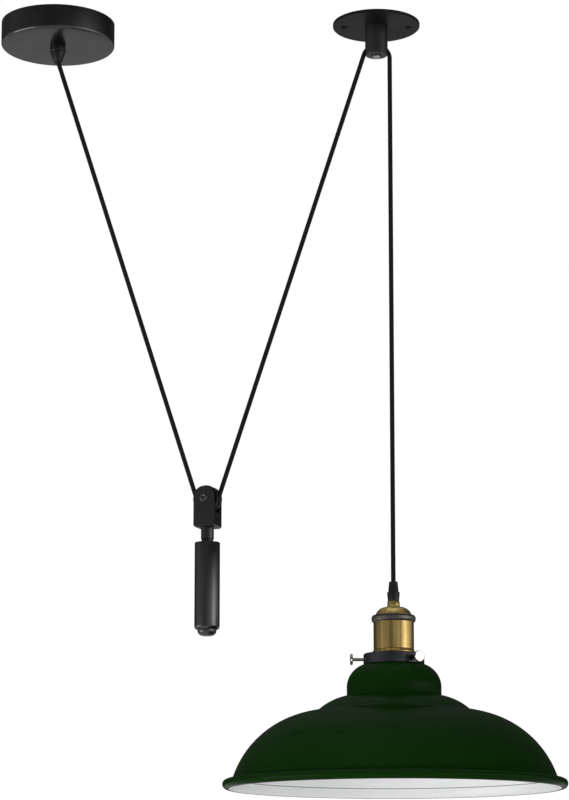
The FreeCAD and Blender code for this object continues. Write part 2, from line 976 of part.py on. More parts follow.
def holder_insert():
    """The ceramic body: roof with wire holes, and a skirt round the lamp thread."""
    outer = insert_radius
    bore = lamp_thread_radius + screw_shell_wall
    body = rod(outer, insert_top, insert_bottom, lamp_x).cut(rod(bore, thread_roof, insert_bottom - past, lamp_x))
    for side in (-1, 1):
        seat = terminal_box(side)
        body = body.cut(seat)
    return body.cut(rod(contact_diameter / 2, thread_roof + contact_depth, thread_roof - past, lamp_x))


def terminal_box(side):
    """The space of one wire terminal in the insert's roof."""
    x = lamp_x + side * terminal_offset
    return block(
        Vector(x - terminal_width / 2, -terminal_length / 2, insert_top - terminal_height),
        Vector(x + terminal_width / 2, terminal_length / 2, insert_top),
    )


def contact_terminals():
    """Two brass wire terminals, each with a clamping screw hole."""
    blocks = []
    for side in (-1, 1):
        box = terminal_box(side)
        x = lamp_x + side * terminal_offset
        hole = rod(terminal_screw_diameter / 2, insert_top + past, insert_top - terminal_height / 2, x)
        blocks.append(box.cut(hole))
    return Part.makeCompound(blocks)


def screw_shell():
    """The thin threaded brass shell that takes the lamp."""
    top = thread_roof - contact_height - screw_shell_gap
    outer = lamp_thread_radius + screw_shell_wall
    return tube(outer, lamp_thread_radius, top, top - screw_shell_length, lamp_x)


def centre_contact():
    radius = contact_diameter / 2
    return turned(
        [
            at(0, thread_roof + contact_depth),
            at(radius, thread_roof + contact_depth),
            at(radius, thread_roof - contact_depth),
            at(contact_tip_diameter / 2, thread_roof - contact_height),
            at(0, thread_roof - contact_height),
        ],
        lamp_x,
    )


# ---------------------------------------------------------------- gallery, thumbscrews and shade


def thumbscrew_angle(index):
    return first_thumbscrew_angle + index * 360 / thumbscrew_count


def radial(shape, index):
    """Moves a piece drawn along +X to one of the thumbscrews' places."""
    shape.rotate(Vector(0, 0, 0), Vector(0, 0, 1), thumbscrew_angle(index))
    shape.translate(Vector(lamp_x, 0, gallery_top - thumbscrew_drop))
    return shape


def gallery_ring():
    """A flanged ring: a plate that the holder passes through, and a wall tapped for the thumbscrews."""
    outer = gallery_diameter / 2
    inner = outer - gallery_wall
    ring = turned(
        [
            at(insert_radius + insert_slack, gallery_top),
            at(outer - gallery_chamfer, gallery_top),
            at(outer, gallery_top - gallery_chamfer),
            at(outer, gallery_bottom),
            at(inner, gallery_bottom),
            at(inner, gallery_nut_top),
            at(insert_radius + insert_slack, gallery_nut_top),
        ],
        lamp_x,
    )
    for index in range(thumbscrew_count):
        start = Vector(inner - past, 0, 0)
        hole = Part.makeCylinder(
            thumbscrew_diameter / 2 + thread_slack, gallery_wall + 2 * past, start, Vector(1, 0, 0)
        )
        seat = Part.makeCone(
            thumbscrew_diameter / 2,
            thumbscrew_seat / 2,
            thumbscrew_seat_depth,
            Vector(outer - thumbscrew_seat_depth, 0, 0),
            Vector(1, 0, 0),
        )
        ring = ring.cut(radial(hole, index)).cut(radial(seat, index))
    return ring


def gallery_nut():
    """The ring nut that clamps the gallery to the insert."""
    outer = gallery_nut_diameter / 2
    return tube(outer, insert_radius, gallery_nut_top, insert_bottom, lamp_x)


def thumbscrew(index):
    """A thumbscrew with a flat round head, in the gallery's wall."""
    shank = thumbscrew_diameter / 2
    head = thumbscrew_head_diameter / 2
    tip = fitter_neck_diameter / 2 + tip_gap
    inner_face = thumbscrew_reach - thumbscrew_head_thickness
    edge = thumbscrew_chamfer
    shape = turned(
        [
            at(0, tip),
            at(shank - edge, tip),
            at(shank, tip + edge),
            at(shank, inner_face),
            at(head - edge, inner_face),
            at(head, inner_face + edge),
            at(head, thumbscrew_reach - edge),
            at(head - edge, thumbscrew_reach),
            at(0, thumbscrew_reach),
        ]
    )
    shape.rotate(Vector(0, 0, 0), Vector(0, 1, 0), 90)
    return radial(shape, index)


def inset(start, middle, end, wall):
    """An arc moved towards its centre by the wall's thickness, as its three points."""
    centre = Part.Arc(start, middle, end).toShape().Curve.Center
    return [point + (centre - point).normalize() * wall for point in (start, middle, end)]


def ring_point(centre, radius, angle):
    """A point on the rolled rim's round, by angle in degrees from its outermost side."""
    turn = math.radians(angle)
    return centre + Vector(radius * math.cos(turn), 0, radius * math.sin(turn))


def shade():
    """A spun shade: fitter neck with a lip, two stepped shoulders, the bowl and a rolled rim."""
    wall = shade_wall
    lip = fitter_diameter / 2
    neck = fitter_neck_diameter / 2
    tier = first_tier_diameter / 2
    tier_bottom = shade_top - first_tier_height
    start = at(first_tier_start / 2, shade_top)
    curve_end = at(tier, shade_top - first_tier_curve_height)
    ledge = at(tier, tier_bottom)
    crease = at(second_tier_end / 2, tier_bottom - second_tier_height)
    edge = at(bowl_diameter / 2, crease.z - bowl_height)
    bead = rim_bead_diameter / 2
    bead_centre = at(rim_diameter / 2 - bead, edge.z - rim_drop)
    first = (start, crown(start, curve_end, first_tier_sag), curve_end)
    second = (ledge, crown(ledge, crease, second_tier_sag), crease)
    bowl = (crease, crown(crease, edge, bowl_sag), edge)
    inner_first = inset(*first, wall)
    inner_second = inset(*second, wall)
    inner_bowl = inset(*bowl, wall)
    inner_bead = bead - wall
    roll_middle = -(90 + rim_roll) / 2
    return turned(
        [
            at(neck - wall, fitter_top),
            at(lip, fitter_top),
            at(lip, fitter_top - fitter_lip_height),
            at(neck, fitter_top - fitter_lip_height),
            at(neck, shade_top),
            start,
            first[1:],
            ledge,
            second[1:],
            bowl[1:],
            ring_point(bead_centre, bead, 90),
            (ring_point(bead_centre, bead, 0), ring_point(bead_centre, bead, -90)),
            (ring_point(bead_centre, bead, roll_middle), ring_point(bead_centre, bead, -rim_roll)),
            ring_point(bead_centre, inner_bead, -rim_roll),
            (ring_point(bead_centre, inner_bead, roll_middle), ring_point(bead_centre, inner_bead, -90)),
            (ring_point(bead_centre, inner_bead, 0), ring_point(bead_centre, inner_bead, 90)),
            inner_bowl[2],
            (inner_bowl[1], inner_bowl[0]),
            inner_second[2],
            (inner_second[1], inner_second[0]),
            inner_first[2],
            (inner_first[1], inner_first[0]),
            at(neck - wall, shade_top - wall),
        ],
        lamp_x,
    )


# ---------------------------------------------------------------- flex


def rose_exit():
    """Where the flex leaves the rose's grip, after its small bend."""
    return Vector(
        grip_bend_radius * (1 - math.cos(lean)),
        0,
        -grip_bend_drop - grip_bend_radius * math.sin(lean),
    )


def wheel_point(angle):
    """A point on the flex's centreline round the wheel, by angle from the wheel's own +X side."""
    turn = math.radians(bracket_turn)
    along = cord_wheel_radius * math.cos(angle)
    return Vector(
        axle_x + along * math.cos(turn),
        -along * math.sin(turn),
        -axle_drop + cord_wheel_radius * math.sin(angle),
    )


def hook_point(angle):
    """A point on the flex's centreline over the hook, by angle from the lamp's side."""
    return Vector(
        hook_distance + hook_bend_radius * math.cos(angle),
        0,
        -hook_bend_drop + hook_bend_radius * math.sin(angle),
    )


def cord_rose_tail():
    """Up through the grip and the nipple into the rose."""
    top = Vector(0, 0, -strap_dish + nut_thickness + cord_tail_length)
    bend = Vector(0, 0, -grip_bend_drop)
    middle = Vector(
        grip_bend_radius * (1 - math.cos(lean / 2)),
        0,
        -grip_bend_drop - grip_bend_radius * math.sin(lean / 2),
    )
    return sweep_round(cord_radius, path([top, bend, (middle, rose_exit())]))


def cord_left_leg():
    top = rose_exit()
    bottom = wheel_point(math.pi + lean)
    return round_bar(cord_radius, top, shorter(top, bottom))


def cord_right_leg():
    top = hook_point(math.pi - lean)
    bottom = wheel_point(2 * math.pi - lean)
    return round_bar(cord_radius, top, shorter(top, bottom))


def shorter(start, end):
    """The end of a run, drawn back so that the stretches can move apart."""
    run = end - start
    return start + run * ((run.Length - cord_break) / run.Length)


def cord_wheel_arc():
    first = wheel_point(math.pi + lean)
    last = wheel_point(2 * math.pi - lean)
    return sweep_round(cord_radius, path([first, (wheel_point(1.5 * math.pi), last)]))


def cord_hook_arch():
    first = hook_point(0)
    last = hook_point(math.pi - lean)
    return sweep_round(cord_radius, path([first, (hook_point((math.pi - lean) / 2), last)]))


def cord_lamp_leg():
    return rod(cord_radius, -hook_bend_drop, lamp_top + cord_break, lamp_x)


def cord_lamp_tail():
    return rod(cord_radius, lamp_top, insert_top, lamp_x)


def flex_length():
    """Length of the flex that shows, from the rose's grip to the lamp's grip."""
    left = (wheel_point(math.pi + lean) - rose_exit()).Length
    right = (wheel_point(2 * math.pi - lean) - hook_point(math.pi - lean)).Length
    arcs = (math.pi - 2 * lean) * cord_wheel_radius + (math.pi - lean) * hook_bend_radius
    return left + right + arcs + lamp_drop - hook_bend_drop


# ---------------------------------------------------------------- all nodes

nodes = {
    "mounting_strap": mounting_strap,
    "strap_nuts": strap_nuts,
    "rose_nipple": rose_nipple,
    "rose_cup": rose_cup,
    "terminal_block": terminal_block,
    "terminal_screws": terminal_screws,
    "earth_screw": earth_screw,
    "rose_grip_collar": rose_grip_collar,
    "rose_grip_cone": rose_grip_cone,
    "hook_plate": hook_plate,
    "plate_screw": plate_screw,
    "hook_boss": hook_boss,
    "cord_lock_screw": cord_lock_screw,
    "weight_bracket": weight_bracket,
    "pulley_wheel": pulley_wheel,
    "wheel_bush": wheel_bush,
    "wheel_washers": wheel_washers,
    "axle_screw": axle_screw,
    "axle_nut": axle_nut,
    "weight_neck": weight_neck,
    "weight_rod": weight_rod,
    "weight_body": weight_body,
    "weight_end_cap": weight_end_cap,
    "lamp_grip_cone": lamp_grip_cone,
    "lamp_grip_collar": lamp_grip_collar,
    "cap_nipple": cap_nipple,
    "brass_cap": brass_cap,
    "knurled_ring": knurled_ring,
    "holder_shell": holder_shell,
    "holder_insert": holder_insert,
    "contact_terminals": contact_terminals,
    "screw_shell": screw_shell,
    "centre_contact": centre_contact,
    "gallery_ring": gallery_ring,
    "gallery_nut": gallery_nut,
    "shade": shade,
    "cord_rose_tail": cord_rose_tail,
    "cord_left_leg": cord_left_leg,
    "cord_wheel_arc": cord_wheel_arc,
    "cord_right_leg": cord_right_leg,
    "cord_hook_arch": cord_hook_arch,
    "cord_lamp_leg": cord_lamp_leg,
    "cord_lamp_tail": cord_lamp_tail,
}

os.makedirs("parts", exist_ok=True)
for name, build in nodes.items():
    build().exportStep(f"parts/{name}.step")
for index in range(thumbscrew_count):
    thumbscrew(index).exportStep(f"parts/thumbscrew_{index + 1}.step")

print(f"flex that shows: {flex_length():.0f} mm, legs lean {math.degrees(lean):.2f} degrees")
print(f"bend radii: grip {grip_bend_radius}, wheel {cord_wheel_radius}, hook {hook_bend_radius}")
print(f"axle at X {axle_x:.1f}, lamp at X {lamp_x:.1f}")
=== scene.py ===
import json
import math

import bmesh
import bpy
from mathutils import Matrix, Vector
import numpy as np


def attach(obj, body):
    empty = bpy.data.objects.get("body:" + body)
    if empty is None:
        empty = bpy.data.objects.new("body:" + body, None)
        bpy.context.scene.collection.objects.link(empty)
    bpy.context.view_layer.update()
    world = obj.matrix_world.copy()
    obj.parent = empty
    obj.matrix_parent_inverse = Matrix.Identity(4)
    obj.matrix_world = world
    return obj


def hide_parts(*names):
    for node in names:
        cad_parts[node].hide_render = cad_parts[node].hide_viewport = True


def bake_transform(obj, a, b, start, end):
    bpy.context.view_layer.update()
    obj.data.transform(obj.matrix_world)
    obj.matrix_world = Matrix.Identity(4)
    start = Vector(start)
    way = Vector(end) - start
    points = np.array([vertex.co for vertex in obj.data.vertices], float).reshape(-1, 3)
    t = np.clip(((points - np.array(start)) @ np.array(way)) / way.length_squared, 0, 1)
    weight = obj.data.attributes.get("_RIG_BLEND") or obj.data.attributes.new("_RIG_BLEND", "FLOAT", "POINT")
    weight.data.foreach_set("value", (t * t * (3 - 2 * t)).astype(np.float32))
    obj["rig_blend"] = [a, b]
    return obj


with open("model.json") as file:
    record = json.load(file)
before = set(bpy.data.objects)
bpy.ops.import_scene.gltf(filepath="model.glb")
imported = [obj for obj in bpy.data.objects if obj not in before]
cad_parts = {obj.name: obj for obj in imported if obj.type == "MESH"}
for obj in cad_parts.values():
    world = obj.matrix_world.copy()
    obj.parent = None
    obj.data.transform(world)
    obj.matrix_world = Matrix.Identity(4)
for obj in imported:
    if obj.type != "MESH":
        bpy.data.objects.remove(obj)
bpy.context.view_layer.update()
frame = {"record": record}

metres = 0.001           # outlines and sizes below are in millimetres, heights from the ceiling down
lampX = 353.0
weightX = 161.776
axleZ = -514.0
bracketTurn = -20.0      # the counterweight hangs turned this far about the vertical


# Camera: in a picture 800 pixels high, the lens is 2544 of them long and the view is raised by 120.
cameraPlan = {"place": (0.2412, -2.588, -0.96876), "tilt": 9.5, "focal": 2544 / 800 * 36, "rise": 120 / 800}

bpy.ops.object.camera_add(
    location=cameraPlan["place"], rotation=(math.radians(90 + cameraPlan["tilt"]), 0, 0)
)
camera = bpy.context.object
camera.data.lens = cameraPlan["focal"]
camera.data.shift_y = cameraPlan["rise"]
bpy.context.scene.camera = camera
bpy.context.scene.view_settings.view_transform = "Standard"
print("camera stands")


# Flex: one length, cut where its stretches move differently.
flexPlan = {
    # control points of each stretch, in metres
    "leftLeg": [
        (0.00066, 0, -0.04245),
        (0.00970, 0, -0.07089),
        (0.14265, 0.00320, -0.48879),
        (0.15175, 0.00365, -0.51740),
    ],
    "wheelBend": [
        (0.15175, 0.00365, -0.51740),
        (0.15279, 0.00327, -0.52088),
        (0.15834, 0.00125, -0.52520),
        (0.16521, -0.00125, -0.52520),
        (0.17076, -0.00327, -0.52088),
        (0.17181, -0.00365, -0.51740),
    ],
    "rightLeg": [
        (0.32566, 0, -0.03375),
        (0.31662, 0, -0.06219),
        (0.18091, -0.00334, -0.48879),
        (0.17181, -0.00365, -0.51740),
    ],
    "hookBend": [
        (0.32566, 0, -0.03375),
        (0.32723, 0, -0.02882),
        (0.33603, 0, -0.02337),
        (0.34626, 0, -0.02496),
        (0.35300, 0, -0.03282),
        (0.35300, 0, -0.03800),
    ],
    "lampLeg": [(0.353, 0, -0.038), (0.353, 0, -0.068), (0.353, 0, -0.570), (0.353, 0, -0.5996)],
    "diameter": 4.8,
    "sides": 20,
    "order": 3,
    "steps": 14,             # between two control points
    "strand": 0.0021,        # length of one crossing of the braid, in metres
    "strands": 12,
}


def flexRoute(name):
    curve = bpy.data.curves.new(f"{name}Route", "CURVE")
    curve.dimensions = "3D"
    spline = curve.splines.new("NURBS")
    points = flexPlan[name]
    spline.points.add(len(points) - 1)
    for control, point in zip(spline.points, points):
        control.co = (*point, 1.0)
    spline.order_u = flexPlan["order"]
    spline.use_endpoint_u = True
    spline.resolution_u = flexPlan["steps"]
    carrier = bpy.data.objects.new(f"{name}Route", curve)
    bpy.context.collection.objects.link(carrier)
    line = bpy.data.meshes.new_from_object(carrier)
    route = [vertex.co.copy() for vertex in line.vertices]
    bpy.data.objects.remove(carrier)
    bpy.data.meshes.remove(line)
    return route


def flexTube(name, braidStart):
    # a round tube along the stretch's own spline; its map runs on from the stretch before it
    route = flexRoute(name)
    sides = flexPlan["sides"]
    radius = flexPlan["diameter"] / 2 * metres
    shell = bmesh.new()
    unwrap = shell.loops.layers.uv.new("braid")
    rings = []
    reached = [braidStart]
    for index, point in enumerate(route):
        before = route[max(index - 1, 0)]
        after = route[min(index + 1, len(route) - 1)]
        along = (after - before).normalized()
        side = along.cross(Vector((0, 1, 0))).normalized()
        up = side.cross(along)
        ring = []
        for step in range(sides):
            turn = 2 * math.pi * step / sides
            ring.append(shell.verts.new(point + (side * math.cos(turn) + up * math.sin(turn)) * radius))
        rings.append(ring)
        if index:
            reached.append(reached[-1] + (point - before).length)
    for index in range(len(rings) - 1):
        for step in range(sides):
            corners = [(index, step), (index, step + 1), (index + 1, step + 1), (index + 1, step)]
            face = shell.faces.new([rings[ring][turn % sides] for ring, turn in corners])
            face.smooth = True
            for loop, (ring, turn) in zip(face.loops, corners):
                loop[unwrap].uv = (reached[ring] / flexPlan["strand"], turn / sides)
    shell.faces.new(rings[0][::-1])
    shell.faces.new(rings[-1])
    bmesh.ops.recalc_face_normals(shell, faces=shell.faces)
    mesh = bpy.data.meshes.new(name)
    shell.to_mesh(mesh)
    shell.free()
    piece = bpy.data.objects.new(name, mesh)
    bpy.context.collection.objects.link(piece)
    return piece, route, reached[-1]


def straightShare(piece, start, end):
    # the leg stays straight: each point moves in proportion to its height
    share = piece.data.attributes["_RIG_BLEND"]
    for vertex, item in zip(piece.data.vertices, share.data):
        item.value = min(max((start - vertex.co.z) / (start - end), 0.0), 1.0)


def flexStretch(name, node, body, toBody=None, braidStart=0.0):
    piece, route, braidEnd = flexTube(name, braidStart)
    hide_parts(node)
    if toBody:
        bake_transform(piece, body, toBody, start=route[0], end=route[-1])
        straightShare(piece, route[0].z, route[-1].z)
        braidEnd - braidStart
    else:
        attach(piece, body)
    print(f"{name}: {(braidEnd - braidStart) * 1000:.0f} mm")
    flexPieces.append(piece)
    return braidEnd


flexPieces = []
reachedWheel = flexStretch("leftLeg", "cord_left_leg", "root", "counterweight")
flexStretch("wheelBend", "cord_wheel_arc", "counterweight", braidStart=reachedWheel)
flexStretch("rightLeg", "cord_right_leg", "root", "counterweight")
reachedHook = flexStretch("hookBend", "cord_hook_arch", "root")
flexStretch("lampLeg", "cord_lamp_leg", "root", "lamp", braidStart=reachedHook)


# Shader maths written as plain expressions.
class Sock:
    def __init__(self, tree, socket):
        self.tree = tree
        self.socket = socket

    def maths(self, operation, first, second=None):
        node = self.tree.nodes.new("ShaderNodeMath")
        node.operation = operation
        for index, value in enumerate((first, second)):
            if isinstance(value, Sock):
                self.tree.links.new(value.socket, node.inputs[index])
            elif value is not None:
                node.inputs[index].default_value = value
        return Sock(self.tree, node.outputs[0])

    def __add__(self, other):
        return self.maths("ADD", self, other)

    def __radd__(self, other):
        return self.maths("ADD", other, self)

    def __sub__(self, other):
        return self.maths("SUBTRACT", self, other)

    def __rsub__(self, other):
        return self.maths("SUBTRACT", other, self)

    def __mul__(self, other):
        return self.maths("MULTIPLY", self, other)

    def __truediv__(self, other):
        return self.maths("DIVIDE", self, other)

    def __pow__(self, other):
        return self.maths("POWER", self, other)

    def sine(self):
        return self.maths("SINE", self)

    def absolute(self):
        return self.maths("ABSOLUTE", self)

    def most(self, other):
        return self.maths("MAXIMUM", self, other)

    def clamp(self):
        return self.maths("MINIMUM", self.maths("MAXIMUM", self, 0.0), 1.0)


# A node tree of a material or a world, and what is added to it.
class Finish:
    def __init__(self, name, tree=None, **fixed):
        if tree:
            self.tree = tree
            return
        self.material = bpy.data.materials.new(name)
        self.material.use_nodes = True
        self.tree = self.material.node_tree
        self.shader = self.tree.nodes["Principled BSDF"]
        for socketName, value in fixed.items():
            self.shader.inputs[socketName.replace("_", " ")].default_value = value

    def node(self, kind, settings=None, inputs=None, output=0):
        made = self.tree.nodes.new(kind)
        for name, value in (settings or {}).items():
            setattr(made, name, value)
        for name, value in (inputs or {}).items():
            if isinstance(value, Sock):
                self.tree.links.new(value.socket, made.inputs[name])
            else:
                made.inputs[name].default_value = value
        return Sock(self.tree, made.outputs[output])

    def feed(self, **links):
        for name, sock in links.items():
            self.tree.links.new(sock.socket, self.shader.inputs[name.replace("_", " ")])

    def place(self):
        return self.node("ShaderNodeTexCoord", output="Object")

    def parts(self, vector):
        split = self.tree.nodes.new("ShaderNodeSeparateXYZ")
        self.tree.links.new(vector.socket, split.inputs[0])
        return [Sock(self.tree, out) for out in split.outputs]

    def noise(self, scale, detail=3.0, rough=0.55, stretch=(1.0, 1.0, 1.0), vector=None):
        vector = vector or self.node("ShaderNodeMapping", None, {"Vector": self.place(), "Scale": stretch})
        inputs = {"Vector": vector, "Scale": scale, "Detail": detail, "Roughness": rough}
        return self.node("ShaderNodeTexNoise", None, inputs)

    def between(self, factor, low, high, fromLow=0.3, fromHigh=0.7):
        inputs = {"Value": factor, "From Min": fromLow, "From Max": fromHigh, "To Min": low, "To Max": high}
        return self.node("ShaderNodeMapRange", None, inputs)

    def mix(self, factor, first, second):
        made = self.tree.nodes.new("ShaderNodeMix")
        made.data_type = "RGBA"
        # the node has its sockets once for each data type, and these are the ones for colour
        for index, value in ((0, factor), (6, first), (7, second)):
            if isinstance(value, Sock):
                self.tree.links.new(value.socket, made.inputs[index])
            else:
                made.inputs[index].default_value = value if index == 0 else (*value, 1.0)
        return Sock(self.tree, made.outputs[2])

    def bump(self, height, strength, distance):
        inputs = {"Height": height, "Strength": strength, "Distance": distance}
        return self.node("ShaderNodeBump", None, inputs)

    def aboutLamp(self):
        # the angle about the lamp's axis in turns, the distance from it and the height, in metres
        along, across, height = self.parts(self.place())
        along = along - lampX * metres
        turns = self.node("ShaderNodeMath", {"operation": "ARCTAN2"}, {0: across, 1: along}) / (2 * math.pi)
        return turns, (along * along + across * across) ** 0.5, height

    def spread(self, x, y, z):
        return self.node("ShaderNodeCombineXYZ", None, {"X": x, "Y": y, "Z": z})


# Finishes, each below its own settings.
reliefDepth = 0.0002     # how far the fine bumps reach, in metres

blackPlan = {
    "roseBlack": {
        "low": (0.0026, 0.0026, 0.0028), "high": (0.0052, 0.0051, 0.0051), "rough": 0.20, "gloss": 0.40,
        "edge": -23.9, "edgeBand": (1.0, 1.4),
    },
    "weightBlack": {
        "low": (0.0045, 0.0045, 0.0046), "high": (0.0080, 0.0079, 0.0079), "rough": 0.19, "gloss": 0.85,
    },
    "hookBlack": {
        "low": (0.0046, 0.0046, 0.0047), "high": (0.0080, 0.0079, 0.0079), "rough": 0.38, "gloss": 0.11,
    },
    # the boss has the hook plate's black made lighter, as painted light for the light its side catches
    "litBossBlack": {
        "low": (0.0090, 0.0090, 0.0091), "high": (0.0145, 0.0144, 0.0144), "rough": 0.34, "gloss": 0.34,
    },
    "blockBlack": {
        "low": (0.0030, 0.0030, 0.0031), "high": (0.0060, 0.0059, 0.0058), "rough": 0.28, "gloss": 0.50,
    },
    "screwBlack": {
        "low": (0.0120, 0.0120, 0.0125), "high": (0.0220, 0.0215, 0.0210), "rough": 0.24, "gloss": 0.70,
    },
}
coatGrain = {"cloud": 34, "peel": 1100, "speck": 2600, "speckShare": 0.4, "relief": 0.05, "edgeRough": 0.10}


def powderCoat(name):
    # fine orange peel, soft clouds of sheen
    chosen = blackPlan[name]
    rough, speckShare = chosen["rough"], coatGrain["speckShare"]
    finish = Finish(name, Specular_IOR_Level=chosen["gloss"], Coat_Roughness=coatGrain["edgeRough"])
    cloud = finish.noise(coatGrain["cloud"], 4)
    peel = finish.noise(coatGrain["peel"], 2)
    specks = finish.noise(coatGrain["speck"], 1)
    tone = finish.between(cloud * (1.0 - speckShare) + specks * speckShare, 0.0, 1.0)
    finish.feed(
        Base_Color=finish.mix(tone, chosen["low"], chosen["high"]),
        Roughness=finish.between(cloud, rough - 0.04, rough + 0.05),
        Normal=finish.bump(peel, coatGrain["relief"], reliefDepth),
    )
    if "edge" in chosen:
        # the rolled edge has been rubbed glossy
        height = finish.parts(finish.place())[2] / metres
        full, gone = chosen["edgeBand"]
        band = finish.between((height - chosen["edge"]).absolute(), 1.0, 0.0, full, gone)
        finish.feed(Coat_Weight=band)
    return finish.material


plasticPlan = {
    "low": (0.0032, 0.0032, 0.0035), "high": (0.0075, 0.0075, 0.0078), "rough": (0.34, 0.46), "gloss": 0.30,
    "grain": 900, "marks": 260, "markPull": (1.0, 1.0, 0.06), "markRelief": 0.6, "relief": 0.10,
}


def mouldedBlack(name):
    # the cord grips: moulded plastic with faint draw marks down the sides
    chosen = plasticPlan
    finish = Finish(name, Specular_IOR_Level=chosen["gloss"])
    grain = finish.noise(chosen["grain"], 3)
    marks = finish.noise(chosen["marks"], 3, stretch=chosen["markPull"])
    finish.feed(
        Base_Color=finish.mix(finish.between(marks, 0.0, 1.0), chosen["low"], chosen["high"]),
        Roughness=finish.between(grain, *chosen["rough"]),
        Normal=finish.bump(grain + marks * chosen["markRelief"], chosen["relief"], reliefDepth),
    )
    return finish.material


brassPlan = {
    # the angles of the shell's seams are in turns about the lamp's axis, from +X
    "shellBrass": {
        "dark": (0.250, 0.165, 0.045), "bright": (0.600, 0.440, 0.170), "mottle": 0.10,
        "seams": (-0.205, -0.377),
    },
    "capBrass": {
        "dark": (0.440, 0.290, 0.080), "bright": (0.930, 0.700, 0.280), "mottle": 0.40, "seams": (),
    },
}
brushPlan = {
    "rough": 0.22, "relief": 0.14,
    "hair": 3.0, "hairPull": (1.5, 1500.0, 60.0), "hairShare": 0.25,    # fine lines round the axis
    "bands": (34.0, 9.0),                                               # broad and upright
    "patch": 52,
    "speck": 520, "speckDark": 0.75, "speckColour": (0.055, 0.034, 0.012),
    "seam": 220.0, "seamDark": 0.8, "seamDeep": 2.0, "seamColour": (0.035, 0.022, 0.008),
    "scratch": 420.0, "scratchDark": 0.35,
}


def agedBrass(name):
    # brushed round the lamp's axis, darker in bands and patches, with a few fine scratches
    chosen, brush = brassPlan[name], brushPlan
    finish = Finish(name, Metallic=1.0)
    turns, reach, height = finish.aboutLamp()
    pullRound, pullUp, pullOut = brush["hairPull"]
    hairPlace = finish.spread(turns * pullRound, height * pullUp, reach * pullOut)
    hair = finish.noise(brush["hair"], 6.0, 0.7, vector=hairPlace)
    bandRound, bandUp = brush["bands"]
    bands = finish.noise(1.0, 4.0, 0.6, vector=finish.spread(turns * bandRound, height * bandUp, 0.0))
    patches = finish.noise(brush["patch"], 5, 0.62)
    mottle, hairShare = chosen["mottle"], brush["hairShare"]
    mixed = patches * mottle + bands * (1.0 - hairShare - mottle) + hair * hairShare
    tone = finish.between(mixed, 0.0, 1.0, 0.36, 0.64)
    colour = finish.mix(tone, chosen["dark"], chosen["bright"])
    relief = hair * 0.5
    if chosen["seams"]:
        seam, otherSeam = (
            1.0 - ((turns - place).absolute() * brush["seam"]).clamp() for place in chosen["seams"]
        )
        seam = seam.most(otherSeam)
        rings = finish.noise(1.0, 2.0, 0.5, vector=finish.spread(0.0, height * brush["scratch"], 0.0))
        scratches = finish.between(rings, 0.0, brush["scratchDark"], 0.66, 0.72)
        colour = finish.mix((seam * brush["seamDark"]).most(scratches), colour, brush["seamColour"])
        relief = relief - seam * brush["seamDeep"]
    else:
        # worn specks on the dome
        speck = finish.noise(brush["speck"], 4, 0.7)
        wearAndHighlight = finish.between(speck, 0.0, brush["speckDark"], 0.56, 0.62)
        colour = finish.mix(wearAndHighlight, colour, brush["speckColour"])
        relief = relief - wearAndHighlight
    finish.feed(
        Base_Color=colour,
        Roughness=finish.between(tone, brush["rough"] + 0.12, brush["rough"], 0.0, 1.0),
        Normal=finish.bump(relief, brush["relief"], reliefDepth),
    )
    return finish.material


knurlPlan = {
    "radius": 22.1, "columns": 88, "rows": 4, "rise": 0.6, "margin": 0.9, "bore": 18.4,
    # below, the colour of the knurl's points is a painted highlight, and that of the hollows between them is
    # painted shade
    "middle": -638.7, "half": (2.6, 2.8), "wearAndHighlight": (0.24, 0.225, 0.20), "grooveShade": (0.012, 0.011, 0.010),
}
coatPlan = {
    "pewter": {
        "low": (0.034, 0.032, 0.029), "high": (0.082, 0.076, 0.068), "rough": 0.36, "knurled": True,
    },
    "galleryCoat": {
        "low": (0.034, 0.035, 0.041), "high": (0.064, 0.066, 0.075), "rough": 0.28, "knurled": False,
    },
}
platingGrain = {"cloud": 60, "fine": 1100, "fineShare": 0.3, "relief": 0.10}


def bronzedSteel(name):
    # dark plated steel, rubbed a little lighter in patches
    chosen = coatPlan[name]
    rough, fineShare = chosen["rough"], platingGrain["fineShare"]
    finish = Finish(name, Metallic=0.9)
    cloud = finish.noise(platingGrain["cloud"], 4)
    fine = finish.noise(platingGrain["fine"], 3)
    tone = finish.between(cloud * (1.0 - fineShare) + fine * fineShare, 0.0, 1.0)
    colour = finish.mix(tone, chosen["low"], chosen["high"])
    if chosen["knurled"]:
        # the knurled band is darkened as painted shade between its points, and the points are made lighter as
        # a painted highlight
        reach, height = finish.aboutLamp()[1:]
        valley = knurlPlan["radius"]
        peak = finish.between(reach / metres, 0.0, 1.0, valley, valley + knurlPlan["rise"])
        full, gone = knurlPlan["half"]
        band = finish.between((height / metres - knurlPlan["middle"]).absolute(), 1.0, 0.0, full, gone)
        colour = finish.mix(band * 0.8, colour, knurlPlan["grooveShade"])
        colour = finish.mix(band * peak, colour, knurlPlan["wearAndHighlight"])
    finish.feed(
        Base_Color=colour,
        Roughness=finish.between(cloud, rough - 0.05, rough + 0.08),
        Normal=finish.bump(fine, platingGrain["relief"], reliefDepth),
    )
    return finish.material


metalPlan = {
    "nickel": {"low": (0.46, 0.41, 0.38), "high": (0.58, 0.54, 0.50), "rough": 0.15},
    "screwSteel": {"low": (0.42, 0.42, 0.42), "high": (0.62, 0.61, 0.60), "rough": 0.24},
    "zincSteel": {"low": (0.38, 0.38, 0.39), "high": (0.56, 0.56, 0.55), "rough": 0.34},
    "plainBrass": {"low": (0.48, 0.32, 0.11), "high": (0.68, 0.48, 0.20), "rough": 0.28},
}
metalGrain = {"cloud": 90, "scratch": 700, "pull": (1.0, 0.12, 1.0), "relief": 0.05}


